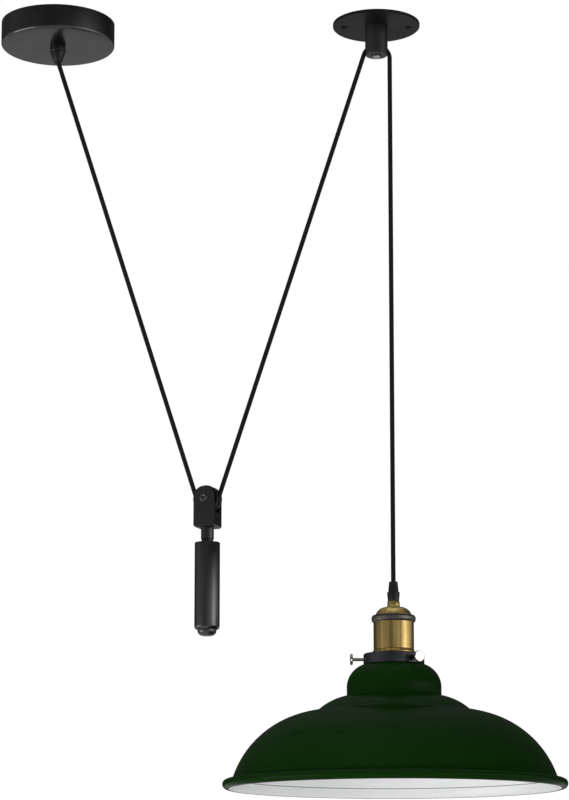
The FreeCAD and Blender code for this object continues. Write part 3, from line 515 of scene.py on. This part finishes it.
def plainMetal(name):
    chosen = metalPlan[name]
    finish = Finish(name, Metallic=1.0)
    cloud = finish.noise(metalGrain["cloud"], 4)
    scratch = finish.noise(metalGrain["scratch"], 4, stretch=metalGrain["pull"])
    finish.feed(
        Base_Color=finish.mix(finish.between(cloud, 0.0, 1.0), chosen["low"], chosen["high"]),
        Roughness=finish.between(scratch, chosen["rough"] - 0.05, chosen["rough"] + 0.08),
        Normal=finish.bump(scratch, metalGrain["relief"], reliefDepth),
    )
    return finish.material


enamelPlan = {
    "greenEnamel": {
        "low": (0.0034, 0.0190, 0.0020), "high": (0.0042, 0.0235, 0.0022), "rough": 0.20, "gloss": 0.028,
    },
    "whiteEnamel": {"low": (0.80, 0.81, 0.81), "high": (0.84, 0.85, 0.845), "rough": 0.32, "gloss": 0.35},
}
enamelGrain = {
    "drift": 7, "wave": 11, "fine": 420, "pits": 900, "fineDeep": 0.02, "relief": 0.08, "depth": 0.003,
}


def firedEnamel(name):
    # deep colour with a long soft waviness and a few fine pits
    chosen, grain = enamelPlan[name], enamelGrain
    finish = Finish(name, Specular_IOR_Level=chosen["gloss"])
    wave = finish.noise(grain["wave"], 2)
    fine = finish.noise(grain["fine"], 3)
    pits = finish.between(finish.noise(grain["pits"], 2), 0.0, 1.0, 0.70, 0.76)
    drift = finish.between(finish.noise(grain["drift"], 3), 0.0, 1.0)
    surface = wave * 2.0 + fine * grain["fineDeep"] - pits * grain["fineDeep"]
    finish.feed(
        Base_Color=finish.mix(drift, chosen["low"], chosen["high"]),
        Roughness=finish.between(fine, chosen["rough"] - 0.03, chosen["rough"] + 0.04),
        Normal=finish.bump(surface, grain["relief"], grain["depth"]),
    )
    return finish.material


braidPlan = {
    "low": (0.0022, 0.0022, 0.0023), "high": (0.0052, 0.0052, 0.0054), "rough": (0.62, 0.80),
    "gloss": 0.18, "sheen": 0.03, "fuzz": 2200, "fuzzShare": 0.4, "relief": 0.30, "depth": 0.0001,
}


def braid(name):
    # a woven jacket: two families of strands that pass over and under each other
    chosen, strands = braidPlan, flexPlan["strands"]
    finish = Finish(name, Specular_IOR_Level=chosen["gloss"], Sheen_Weight=chosen["sheen"])
    along, across = finish.parts(finish.node("ShaderNodeUVMap", {"uv_map": "braid"}))[:2]
    left = ((along + across * strands) * math.pi).sine().absolute()
    right = ((along - across * strands) * math.pi).sine().absolute()
    weave = left.most(right)
    fuzz = finish.noise(chosen["fuzz"], 3)
    tone = weave * (1.0 - chosen["fuzzShare"]) + fuzz * chosen["fuzzShare"]
    finish.feed(
        Base_Color=finish.mix(tone, chosen["low"], chosen["high"]),
        Roughness=finish.between(fuzz, *chosen["rough"]),
        Normal=finish.bump(weave + fuzz * 0.3, chosen["relief"], chosen["depth"]),
    )
    return finish.material


palePlan = {
    "ceramic": {"low": (0.70, 0.68, 0.63), "high": (0.80, 0.785, 0.74), "rough": 0.20, "grain": 300},
    "nylon": {"low": (0.62, 0.62, 0.59), "high": (0.74, 0.74, 0.71), "rough": 0.50, "grain": 900},
}


def paleInsulator(name):
    chosen = palePlan[name]
    finish = Finish(name, Specular_IOR_Level=0.45)
    cloud = finish.noise(60, 3)
    finish.feed(
        Base_Color=finish.mix(finish.between(cloud, 0.0, 1.0), chosen["low"], chosen["high"]),
        Roughness=finish.between(cloud, chosen["rough"] - 0.05, chosen["rough"] + 0.07),
        Normal=finish.bump(finish.noise(chosen["grain"], 2), 0.06, reliefDepth),
    )
    return finish.material


finishes = {name: powderCoat(name) for name in blackPlan}
finishes.update({name: agedBrass(name) for name in brassPlan})
finishes.update({name: bronzedSteel(name) for name in coatPlan})
finishes.update({name: plainMetal(name) for name in metalPlan})
finishes.update({name: firedEnamel(name) for name in enamelPlan})
finishes.update({name: paleInsulator(name) for name in palePlan})
finishes.update({"mouldedBlack": mouldedBlack("mouldedBlack"), "braid": braid("braid")})
for piece in flexPieces:
    piece.data.materials.append(finishes["braid"])
print("finishes mixed")


# Helpers for the pieces. Sizes are in millimetres, heights from the ceiling down.
mergeGap = 0.000004      # a turned piece's points that are nearer than this become one, in metres
weldGap = 0.000005       # the same for the loose triangles of a frame node
bodyOf = {node: body for body, nodes in frame["record"]["behaviour"]["bodies"].items() for node in nodes}


def onlyActive(piece):
    bpy.ops.object.select_all(action="DESELECT")
    piece.select_set(True)
    bpy.context.view_layer.objects.active = piece


def dressed(piece, *finishNames):
    piece.data.materials.clear()
    for finish in finishNames:
        piece.data.materials.append(finishes[finish])


def seated(piece, node, finish=None):
    # the piece takes the place of a frame node, with its body, and its finish if one is given
    if finish:
        dressed(piece, finish)
    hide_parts(node)
    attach(piece, bodyOf[node])


def arc(start, end, bulge, steps):
    # points from start to end along an arc that bulges to the left by a share of the chord; start is left out
    chord = Vector((end[0] - start[0], end[1] - start[1]))
    angle = 4 * math.atan(2 * bulge)
    radius = chord.length / 2 / math.sin(angle / 2)
    middle = Vector(start) + chord / 2
    left = Vector((-chord.y, chord.x)).normalized()
    centre = middle - left * (radius * math.cos(angle / 2))
    spoke = Vector(start) - centre
    points = []
    for step in range(1, steps + 1):
        turn = -angle * step / steps
        points.append(
            (
                centre.x + spoke.x * math.cos(turn) - spoke.y * math.sin(turn),
                centre.y + spoke.x * math.sin(turn) + spoke.y * math.cos(turn),
            )
        )
    return points


def turned(name, x, outline, steps=96, closed=True, sharp=32.0):
    # a ring of the outline's first point, extruded and scaled from point to point round the upright axis
    bpy.ops.object.select_all(action="DESELECT")
    bpy.ops.mesh.primitive_circle_add(
        vertices=steps, radius=outline[0][0] * metres, location=(x * metres, 0, outline[0][1] * metres)
    )
    piece = bpy.context.object
    piece.name = name
    bpy.ops.object.mode_set(mode="EDIT")
    bpy.ops.mesh.select_all(action="SELECT")
    ends = outline[1:] + outline[:1] if closed else outline[1:]
    for (fromR, fromZ), (toR, toZ) in zip(outline, ends):
        bpy.ops.mesh.extrude_edges_move(TRANSFORM_OT_translate={"value": (0, 0, (toZ - fromZ) * metres)})
        grow = toR / fromR
        bpy.ops.transform.resize(value=(grow, grow, 1), center_override=(x * metres, 0, toZ * metres))
    bpy.ops.mesh.select_all(action="SELECT")
    bpy.ops.mesh.remove_doubles(threshold=mergeGap)
    bpy.ops.mesh.normals_make_consistent(inside=False)
    bpy.ops.object.mode_set(mode="OBJECT")
    bpy.ops.object.shade_smooth_by_angle(angle=math.radians(sharp))
    bpy.ops.object.transform_apply(location=True, rotation=True, scale=True)
    return piece


def smoothCopy(node, finish, sharp=32.0):
    # the node's own shape, welded and shaded smooth over its round faces
    source = bpy.data.objects[node]
    piece = bpy.data.objects.new(f"{node}_smooth", source.data.copy())
    bpy.context.collection.objects.link(piece)
    onlyActive(piece)
    bpy.ops.object.mode_set(mode="EDIT")
    bpy.ops.mesh.select_all(action="SELECT")
    bpy.ops.mesh.remove_doubles(threshold=weldGap)
    bpy.ops.object.mode_set(mode="OBJECT")
    bpy.ops.object.shade_smooth_by_angle(angle=math.radians(sharp))
    even = piece.modifiers.new("even", "WEIGHTED_NORMAL")
    even.mode = "FACE_AREA"
    even.weight = 60
    even.keep_sharp = True
    bpy.ops.object.modifier_apply(modifier="even")
    seated(piece, node, finish)


# Rose: the cup and its cord grip.
rosePlan = {
    "radius": 60.0, "height": 25.5, "wall": 1.2, "edge": 2.6, "hole": 5.1, "flat": 40.0, "steps": 160,
    "collar": 5.5, "collarRadius": 8.3, "collarBore": 5.0,
    "tip": 42.4, "coneRadius": 7.8, "tipRadius": 4.3, "coneBore": 2.5, "mouth": 4.2,
}


def roseCup():
    chosen = rosePlan
    outer, wall, edge, foot = chosen["radius"], chosen["wall"], chosen["edge"], -chosen["height"]
    hole, flat, inner = chosen["hole"], chosen["flat"], outer - wall
    quarter = math.tan(math.pi / 8) / 2
    outline = [(hole, foot), (flat, foot), (outer - edge, foot)]
    outline += arc(outline[-1], (outer, foot + edge), -quarter, 8)
    outline += [(outer, 0), (inner, 0), (inner, foot + edge)]
    outline += arc(outline[-1], (outer - edge, foot + wall), quarter, 6)
    outline += [(flat, foot + wall), (hole, foot + wall)]
    seated(turned("roseCup", 0, outline, chosen["steps"]), "rose_cup", "roseBlack")


def roseGrip():
    chosen = rosePlan
    top = -chosen["height"]
    middle = top - chosen["collar"]
    tip = -chosen["tip"]
    wide, bore = chosen["collarRadius"], chosen["collarBore"]
    collar = [(bore, top), (wide, top), (wide, middle + 0.9), (wide - 0.2, middle + 0.4)]
    collar += [(wide - 0.7, middle), (bore, middle)]
    wide, end, bore = chosen["coneRadius"], chosen["tipRadius"], chosen["coneBore"]
    cone = [(bore, middle), (wide - 0.3, middle), (wide, middle - 0.3), (wide, middle - 1.2)]
    cone += [(end, tip + 0.3), (end - 0.2, tip), (end - 0.8, tip), (bore, tip + chosen["mouth"])]
    seated(turned("roseGripCollar", 0, collar, 64), "rose_grip_collar", "mouldedBlack")
    seated(turned("roseGripCone", 0, cone, 64), "rose_grip_cone", "mouldedBlack")


roseCup()
roseGrip()
print("rose turned")


# Counterweight: body, neck, end nut and grooved wheel.
weightPlan = {
    "top": -559.3, "foot": -649.3, "radius": 13.05, "bore": 4.0,
    "neck": 6.7, "neckTop": -544.2, "groove": 0.8,
    "cap": 9.7, "capDrop": 6.7, "capFlat": 4.35, "capFloor": 3.35, "capBulge": 0.16,
    "axis": 0.01,            # the last ring of a closed end, a hair off the axis so that it can be scaled
}
wheelPlan = {
    "radius": 13.8, "half": 6.3, "bore": 4.5, "hub": 5.9,
    "cord": 11.2, "groove": 2.8, "mouth": 4.7, "flange": 1.6, "dish": 1.2,
}


def weightBody():
    top, foot, radius, bore = (weightPlan[key] for key in ("top", "foot", "radius", "bore"))
    outline = [(bore, top), (radius - 0.6, top), (radius - 0.15, top - 0.2), (radius, top - 0.6)]
    outline += [(radius, foot + 2.9), (radius - 0.1, foot + 2.3), (radius - 1.1, foot + 0.3)]
    outline += [(radius - 1.5, foot), (bore, foot)]
    seated(turned("weightBody", weightX, outline, 96), "weight_body", "weightBlack")


def weightNeck():
    # a plain spacer with one groove near its foot
    foot, bore, neck, top = (weightPlan[key] for key in ("top", "bore", "neck", "neckTop"))
    valley = neck - weightPlan["groove"]
    outline = [(bore, top), (neck, top), (neck, foot + 3.6), (neck - 0.2, foot + 3.3)]
    outline += [(valley, foot + 2.6), (valley, foot + 1.4), (neck - 0.2, foot + 0.7), (neck, foot + 0.4)]
    outline += [(neck, foot), (bore, foot)]
    seated(turned("weightNeck", weightX, outline, 72), "weight_neck", "blockBlack")


def weightEndCap():
    top, bore, wide, axis = (weightPlan[key] for key in ("foot", "bore", "cap", "axis"))
    end, floor = top - weightPlan["capDrop"], top - weightPlan["capFloor"]
    outline = [(bore, top), (wide - 0.2, top), (wide, top - 0.3), (wide, top - 2.5)]
    outline += arc((wide, top - 2.7), (weightPlan["capFlat"], end), weightPlan["capBulge"], 10)
    outline += [(axis, end), (axis, floor), (bore, floor)]
    seated(turned("weightEndCap", weightX, outline, 72), "weight_end_cap", "screwBlack")


def grooveWheel():
    chosen = wheelPlan
    rim, half, cord, groove = (chosen[key] for key in ("radius", "half", "cord", "groove"))
    bore, hub, face, inner = chosen["bore"], chosen["hub"], half - chosen["dish"], rim - chosen["flange"]
    flank = [(bore, half), (hub, half), (hub, face), (inner - 0.3, face), (inner, face + 0.3)]
    flank += [(inner, half - 0.2), (inner + 0.2, half), (rim - 0.5, half), (rim - 0.1, half - 0.2)]
    flank += [(rim, half - 0.5), (rim, chosen["mouth"])]
    outline = flank + [(cord, groove)] + arc((cord, groove), (cord, -groove), -0.5, 14)
    outline += [(radius, -height) for radius, height in reversed(flank)]
    wheel = turned("grooveWheel", 0, outline, 96)
    wheel.rotation_euler = (math.radians(90), 0, math.radians(bracketTurn))
    wheel.location = (weightX * metres, 0, axleZ * metres)
    onlyActive(wheel)
    bpy.ops.object.transform_apply(location=True, rotation=True, scale=True)
    seated(wheel, "pulley_wheel", "blockBlack")


weightBody()
weightNeck()
weightEndCap()
grooveWheel()
print("counterweight turned")


# Lamp holder: cord grip, cap, knurled ring and shell.
# First the heights where one piece of it ends and the next begins.
holderPlan = {
    "gripTop": -600.0, "collarTop": -610.9, "capTop": -620.6, "ringTop": -635.2, "ringFoot": -642.2,
    "foot": -674.7,
}
gripPlan = {"bore": 2.5, "tip": 4.4, "coneFoot": 5.5, "collarBore": 4.2, "collar": 6.5, "collarFoot": 5.8}
capPlan = {
    "hole": 4.2, "neck": 6.4, "neckDrop": 4.4, "shoulder": 8.0, "shoulderDrop": 6.0, "side": 18.4,
    "wall": 0.9, "bulge": 0.17,
}
shellPlan = {
    "radius": 20.7, "wall": 0.8, "straight": 10.0, "groove": 4.8, "flare": 21.8, "flareTop": 2.6, "lip": 21.4,
    "floor": 17.6,
}


def holderGrip():
    top, middle, foot = holderPlan["gripTop"], holderPlan["collarTop"], holderPlan["capTop"]
    bore, tip, wide = gripPlan["bore"], gripPlan["tip"], gripPlan["coneFoot"]
    cone = [(bore, top), (tip - 0.3, top), (tip, top - 0.3), (wide - 0.1, middle + 0.4), (wide, middle)]
    cone += [(bore, middle)]
    bore, wide = gripPlan["collarBore"], gripPlan["collar"]
    collar = [(bore, middle), (wide - 0.4, middle), (wide - 0.1, middle - 0.1), (wide, middle - 0.5)]
    collar += [(gripPlan["collarFoot"], foot), (bore, foot)]
    seated(turned("gripCone", lampX, cone, 64), "lamp_grip_cone", "mouldedBlack")
    seated(turned("gripCollar", lampX, collar, 64), "lamp_grip_collar", "mouldedBlack")


def brassCap():
    chosen = capPlan
    top, seat, foot = holderPlan["capTop"], holderPlan["ringTop"] + 0.8, holderPlan["ringFoot"] + 1.0
    hole, neck, side, wall, bulge = (chosen[key] for key in ("hole", "neck", "side", "wall", "bulge"))
    neckFoot = (neck, top - chosen["neckDrop"])
    shoulder = (chosen["shoulder"], top - chosen["shoulderDrop"])
    ceiling = top - chosen["shoulderDrop"] - wall
    outline = [(hole, top), (neck - 0.6, top), (neck - 0.2, top - 0.15), (neck, top - 0.6), neckFoot]
    outline += arc(neckFoot, shoulder, -0.2, 6)
    outline += arc(shoulder, (side, seat), bulge, 22)
    outline += [(side, foot), (side - wall, foot), (side - wall, seat)]
    outline += arc((side - wall, seat), (shoulder[0] - wall, ceiling), -bulge, 16)
    outline += [(hole, ceiling)]
    seated(turned("brassCap", lampX, outline, 112), "brass_cap", "capBrass")


def knurledRing():
    # a plain ring first; then every second corner of its rows is pulled out to make the diamonds
    chosen = knurlPlan
    top, foot = holderPlan["ringTop"], holderPlan["ringFoot"]
    bore, radius, rows, columns = (chosen[key] for key in ("bore", "radius", "rows", "columns"))
    bandTop, bandFoot = top - chosen["margin"], foot + chosen["margin"]
    outline = [(bore, top), (radius - 0.8, top), (radius - 0.2, top - 0.5)]
    outline += [(radius, bandTop + (bandFoot - bandTop) * row / rows) for row in range(rows + 1)]
    outline += [(radius - 0.2, foot + 0.5), (radius - 0.8, foot), (bore, foot)]
    ring = turned("knurledRing", lampX, outline, columns, sharp=12.0)
    onlyActive(ring)
    bpy.ops.object.mode_set(mode="EDIT")
    bpy.ops.mesh.select_mode(type="VERT")
    bpy.ops.mesh.select_all(action="DESELECT")
    bpy.ops.object.mode_set(mode="OBJECT")
    for vertex in ring.data.vertices:
        away = Vector((vertex.co.x - lampX * metres, vertex.co.y))
        row = round((vertex.co.z / metres - bandTop) / (bandFoot - bandTop) * rows)
        column = round(math.atan2(away.y, away.x) / (2 * math.pi) * columns)
        onBand = abs(away.length / metres - radius) < 0.05
        vertex.select = onBand and 0 < row < rows and (row + column) % 2 == 0
    bpy.ops.object.mode_set(mode="EDIT")
    grow = 1 + chosen["rise"] / radius
    middle = (lampX * metres, 0, (top + foot) / 2 * metres)
    bpy.ops.transform.resize(value=(grow, grow, 1), center_override=middle)
    bpy.ops.object.mode_set(mode="OBJECT")
    bpy.ops.object.shade_smooth_by_angle(angle=math.radians(12))
    seated(ring, "knurled_ring", "pewter")


def brassShell():
    chosen = shellPlan
    top, foot = holderPlan["ringFoot"], holderPlan["foot"]
    radius, wall, floor = chosen["radius"], chosen["wall"], chosen["floor"]
    groove, flareTop = foot + chosen["groove"], (chosen["flare"], foot + chosen["flareTop"])
    outline = [(radius - wall, top), (radius, top), (radius, foot + chosen["straight"])]
    outline += [(radius, groove + 0.2), (radius - 0.2, groove), (radius, groove - 0.2)]
    outline += arc((radius, groove - 0.2), flareTop, -0.12, 8)
    outline += arc(flareTop, (chosen["lip"], foot), 0.15, 8)
    outline += [(floor, foot), (floor, foot + wall), (radius - wall, foot + wall)]
    seated(turned("brassShell", lampX, outline, 128), "holder_shell", "shellBrass")


holderGrip()
brassCap()
knurledRing()
brassShell()
print("lamp holder turned")


# Shade: one spun wall, green outside and white inside.
shadePlan = {
    "fitterTop": -677.9, "lip": 28.6, "neck": 27.2, "wall": 0.8, "steps": 192,
    "top": -685.4, "tierStart": 30.5, "tier": 48.3, "tierFoot": -710.7, "tierBulge": 0.177,
    "ledge": -718.1, "ledgeBulge": 0.075, "crease": (79.3, -733.6),
    "bowlBulge": 0.15, "edge": (164.5, -800.8),
    "rim": 175.0, "rimDrop": 6.8, "bead": 4.8, "curlSteps": 28, "curlTurn": 10.0,
    "whiteTop": 5.6,         # the white inside starts this far above the bead's middle
    "whiteSide": 0.4,        # and this share of the bead's radius inwards from it
}


def spunShade():
    chosen = shadePlan
    fitterTop, lip, neck, top = (chosen[key] for key in ("fitterTop", "lip", "neck", "top"))
    tier, ledge, crease, bead = (chosen[key] for key in ("tier", "ledge", "crease", "bead"))
    outline = [(lip, fitterTop), (lip, fitterTop - 0.9), (neck, fitterTop - 1.1)]
    outline += [(neck, top + 0.6), (neck + 0.6, top), (chosen["tierStart"], top)]
    outline += arc(outline[-1], (tier, chosen["tierFoot"]), chosen["tierBulge"], 20)
    outline += [(tier, ledge + 1.2), (tier + 0.25, ledge + 0.4), (tier + 0.9, ledge)]
    outline += arc(outline[-1], crease, chosen["ledgeBulge"], 12)
    outline += arc(crease, chosen["edge"], chosen["bowlBulge"], 40)
    rimX, rimZ = chosen["rim"] - bead, chosen["edge"][1] - chosen["rimDrop"]
    for step in range(chosen["curlSteps"]):
        turn = math.radians(90 - step * chosen["curlTurn"])
        outline.append((rimX + bead * math.cos(turn), rimZ + bead * math.sin(turn)))
    outline += [(rimX - bead - 0.5, rimZ + 3.1), (rimX - bead - 1.1, rimZ + 5.4)]    # shut against the wall
    shade = turned("spunShade", lampX, outline, chosen["steps"], closed=False, sharp=50.0)
    onlyActive(shade)
    dressed(shade, "greenEnamel", "whiteEnamel")
    wall = shade.modifiers.new("wall", "SOLIDIFY")
    wall.thickness = chosen["wall"] * metres
    wall.offset = -1.0
    wall.material_offset = 1
    bpy.ops.object.modifier_apply(modifier="wall")
    # the white runs on from the inside over the inner flank of the bead; its lowest line is still green
    for face in shade.data.polygons:
        away = math.hypot(face.center.x - lampX * metres, face.center.y) / metres
        low = face.center.z / metres < rimZ + chosen["whiteTop"]
        if low and away < rimX - bead * chosen["whiteSide"] and face.normal.z < 0.5:
            face.material_index = 1
    bpy.ops.object.shade_smooth_by_angle(angle=math.radians(50))
    seated(shade, "shade")


spunShade()
print("shade spun")


# Pieces whose shape is the frame's own, and their finishes.
keptFinish = {
    "mounting_strap": "zincSteel",
    "strap_nuts": "zincSteel",
    "rose_nipple": "zincSteel",
    "terminal_block": "nylon",
    "terminal_screws": "plainBrass",
    "earth_screw": "nickel",
    "hook_plate": "hookBlack",
    "plate_screw": "zincSteel",
    "hook_boss": "litBossBlack",
    "cord_lock_screw": "screwSteel",
    "weight_bracket": "blockBlack",
    "wheel_bush": "plainBrass",
    "wheel_washers": "nylon",
    "axle_screw": "screwBlack",
    "axle_nut": "screwBlack",
    "weight_rod": "zincSteel",
    "cap_nipple": "zincSteel",
    "holder_insert": "ceramic",
    "contact_terminals": "plainBrass",
    "screw_shell": "plainBrass",
    "centre_contact": "plainBrass",
    "gallery_ring": "galleryCoat",
    "gallery_nut": "pewter",
    "cord_rose_tail": "mouldedBlack",
    "cord_lamp_tail": "mouldedBlack",
    "thumbscrew_1": "nickel",
    "thumbscrew_2": "nickel",
    "thumbscrew_3": "nickel",
}
for node, finish in keptFinish.items():
    smoothCopy(node, finish)
print("frame pieces dressed")


# Room: the floor, the lights, and what the gloss sees.
roomPlan = {
    "floor": -2.3, "size": 24.0, "glow": 0.24, "rough": 0.8,
    "low": (0.90, 0.90, 0.90), "high": (0.93, 0.93, 0.93),
    "near": 3.0, "nearWhite": 0.95, "far": 9.0,     # the floor turns pure white between these distances
}

bpy.ops.mesh.primitive_plane_add(size=roomPlan["size"], location=(0.24, 0, roomPlan["floor"]))
floor = bpy.context.object
floor.name = "floor"
paper = Finish("paper", Roughness=roomPlan["rough"])
paper.feed(Base_Color=paper.mix(paper.noise(2, 2), roomPlan["low"], roomPlan["high"]))
seen = paper.node("ShaderNodeLightPath", output="Is Camera Ray")
gloss = paper.node("ShaderNodeLightPath", output="Is Glossy Ray")
glow = paper.node("ShaderNodeEmission", None, {"Color": (1, 1, 1, 1), "Strength": 1.0})
away, aside = paper.parts(paper.place())[:2]
distance = (away * away + aside * aside) ** 0.5
whitened = paper.between(distance, roomPlan["nearWhite"], 1.0, roomPlan["near"], roomPlan["far"])
share = seen * whitened + gloss * roomPlan["glow"]
lit = Sock(paper.tree, paper.shader.outputs[0])
blended = paper.node("ShaderNodeMixShader", None, {0: share, 1: lit, 2: glow})
paper.tree.links.new(blended.socket, paper.tree.nodes["Material Output"].inputs[0])
floor.data.materials.append(paper.material)

# place and aim in metres, size across and up, watts
lightPlan = {
    "leftSoftbox": {"place": (-1.9, -1.9, 0.2), "aim": (0.25, 0, -0.5), "size": (1.6, 1.6), "power": 24},
    "rightSoftbox": {"place": (1.6, -2.3, 0.2), "aim": (0.30, 0, -0.5), "size": (1.6, 1.6), "power": 13},
    "underFill": {"place": (0.35, -1.8, -1.9), "aim": (0.353, 0, -0.75), "size": (1.6, 0.8), "power": 13},
    # this one shows in the gloss and draws the line of light along the rose's lower edge
    "edgeStrip": {
        "place": (-2.18, -0.70, -1.27), "aim": (0, 0, -0.02), "size": (2.3, 0.55), "power": 26,
        "inGloss": True,
    },
}


def softbox(name):
    chosen = lightPlan[name]
    place, aim = Vector(chosen["place"]), Vector(chosen["aim"])
    bpy.ops.object.light_add(type="AREA", location=place)
    light = bpy.context.object
    light.name = name
    light.data.shape = "RECTANGLE"
    light.data.size, light.data.size_y = chosen["size"]
    light.data.energy = chosen["power"]
    light.rotation_euler = (aim - place).to_track_quat("-Z", "Y").to_euler()
    light.visible_camera = False
    light.visible_glossy = chosen.get("inGloss", False)


for lightName in lightPlan:
    softbox(lightName)

# What the gloss sees: soft upright glows and round ones in a dim room, and white for the camera.
glowPlan = {
    # upright glows: degrees from the camera's side to the right, tightness, height and its half, strength
    "upright": [
        (66, 20.0, 0.03, 0.31, 3.1),
        (17, 30.0, 0.04, 0.28, 0.50),
        (104, 40.0, 0.02, 0.30, 0.5),
        (-86, 16.0, 0.04, 0.55, 0.40),
        (-40, 24.0, 0.12, 0.34, 0.28),
    ],
    # round glows: direction, tightness, strength
    "round": [
        ((0.05, -0.95, 0.20), 10.0, 0.10),
        ((-0.10, 0.00, 0.99), 9.0, 0.80),
    ],
    "dim": 0.032,
}
world = bpy.data.worlds.new("studio")
bpy.context.scene.world = world
world.use_nodes = True
studio = Finish("studio", tree=world.node_tree)
for node in list(studio.tree.nodes):
    studio.tree.nodes.remove(node)
direction = studio.node("ShaderNodeTexCoord", output="Generated")
across, ahead, up = studio.parts(direction)
flat = (across * across + ahead * ahead) ** 0.5
level = across * 0.0 + glowPlan["dim"]      # a socket to add the glows to
for degrees, tightness, height, half, strength in glowPlan["upright"]:
    turn = math.radians(degrees)
    facing = (across * math.sin(turn) - ahead * math.cos(turn)) / flat
    window = (1.0 - ((up - height) / half) ** 2.0).clamp()
    level = level + (facing * 0.5 + 0.5).clamp() ** tightness * window * strength
for toward, tightness, strength in glowPlan["round"]:
    aim = Vector(toward).normalized()
    facing = studio.node(
        "ShaderNodeVectorMath", {"operation": "DOT_PRODUCT"}, {0: direction, 1: aim}, output="Value"
    )
    level = level + (facing * 0.5 + 0.5).clamp() ** tightness * strength
sky = studio.node("ShaderNodeBackground", None, {"Color": (1, 1, 1, 1), "Strength": level})
white = studio.node("ShaderNodeBackground", None, {"Color": (1, 1, 1, 1), "Strength": 1.0})
seen = studio.node("ShaderNodeLightPath", output="Is Camera Ray")
shown = studio.node("ShaderNodeMixShader", None, {0: seen, 1: sky, 2: white})
worldEnd = studio.tree.nodes.new("ShaderNodeOutputWorld")
studio.tree.links.new(shown.socket, worldEnd.inputs["Surface"])
print("room lit")
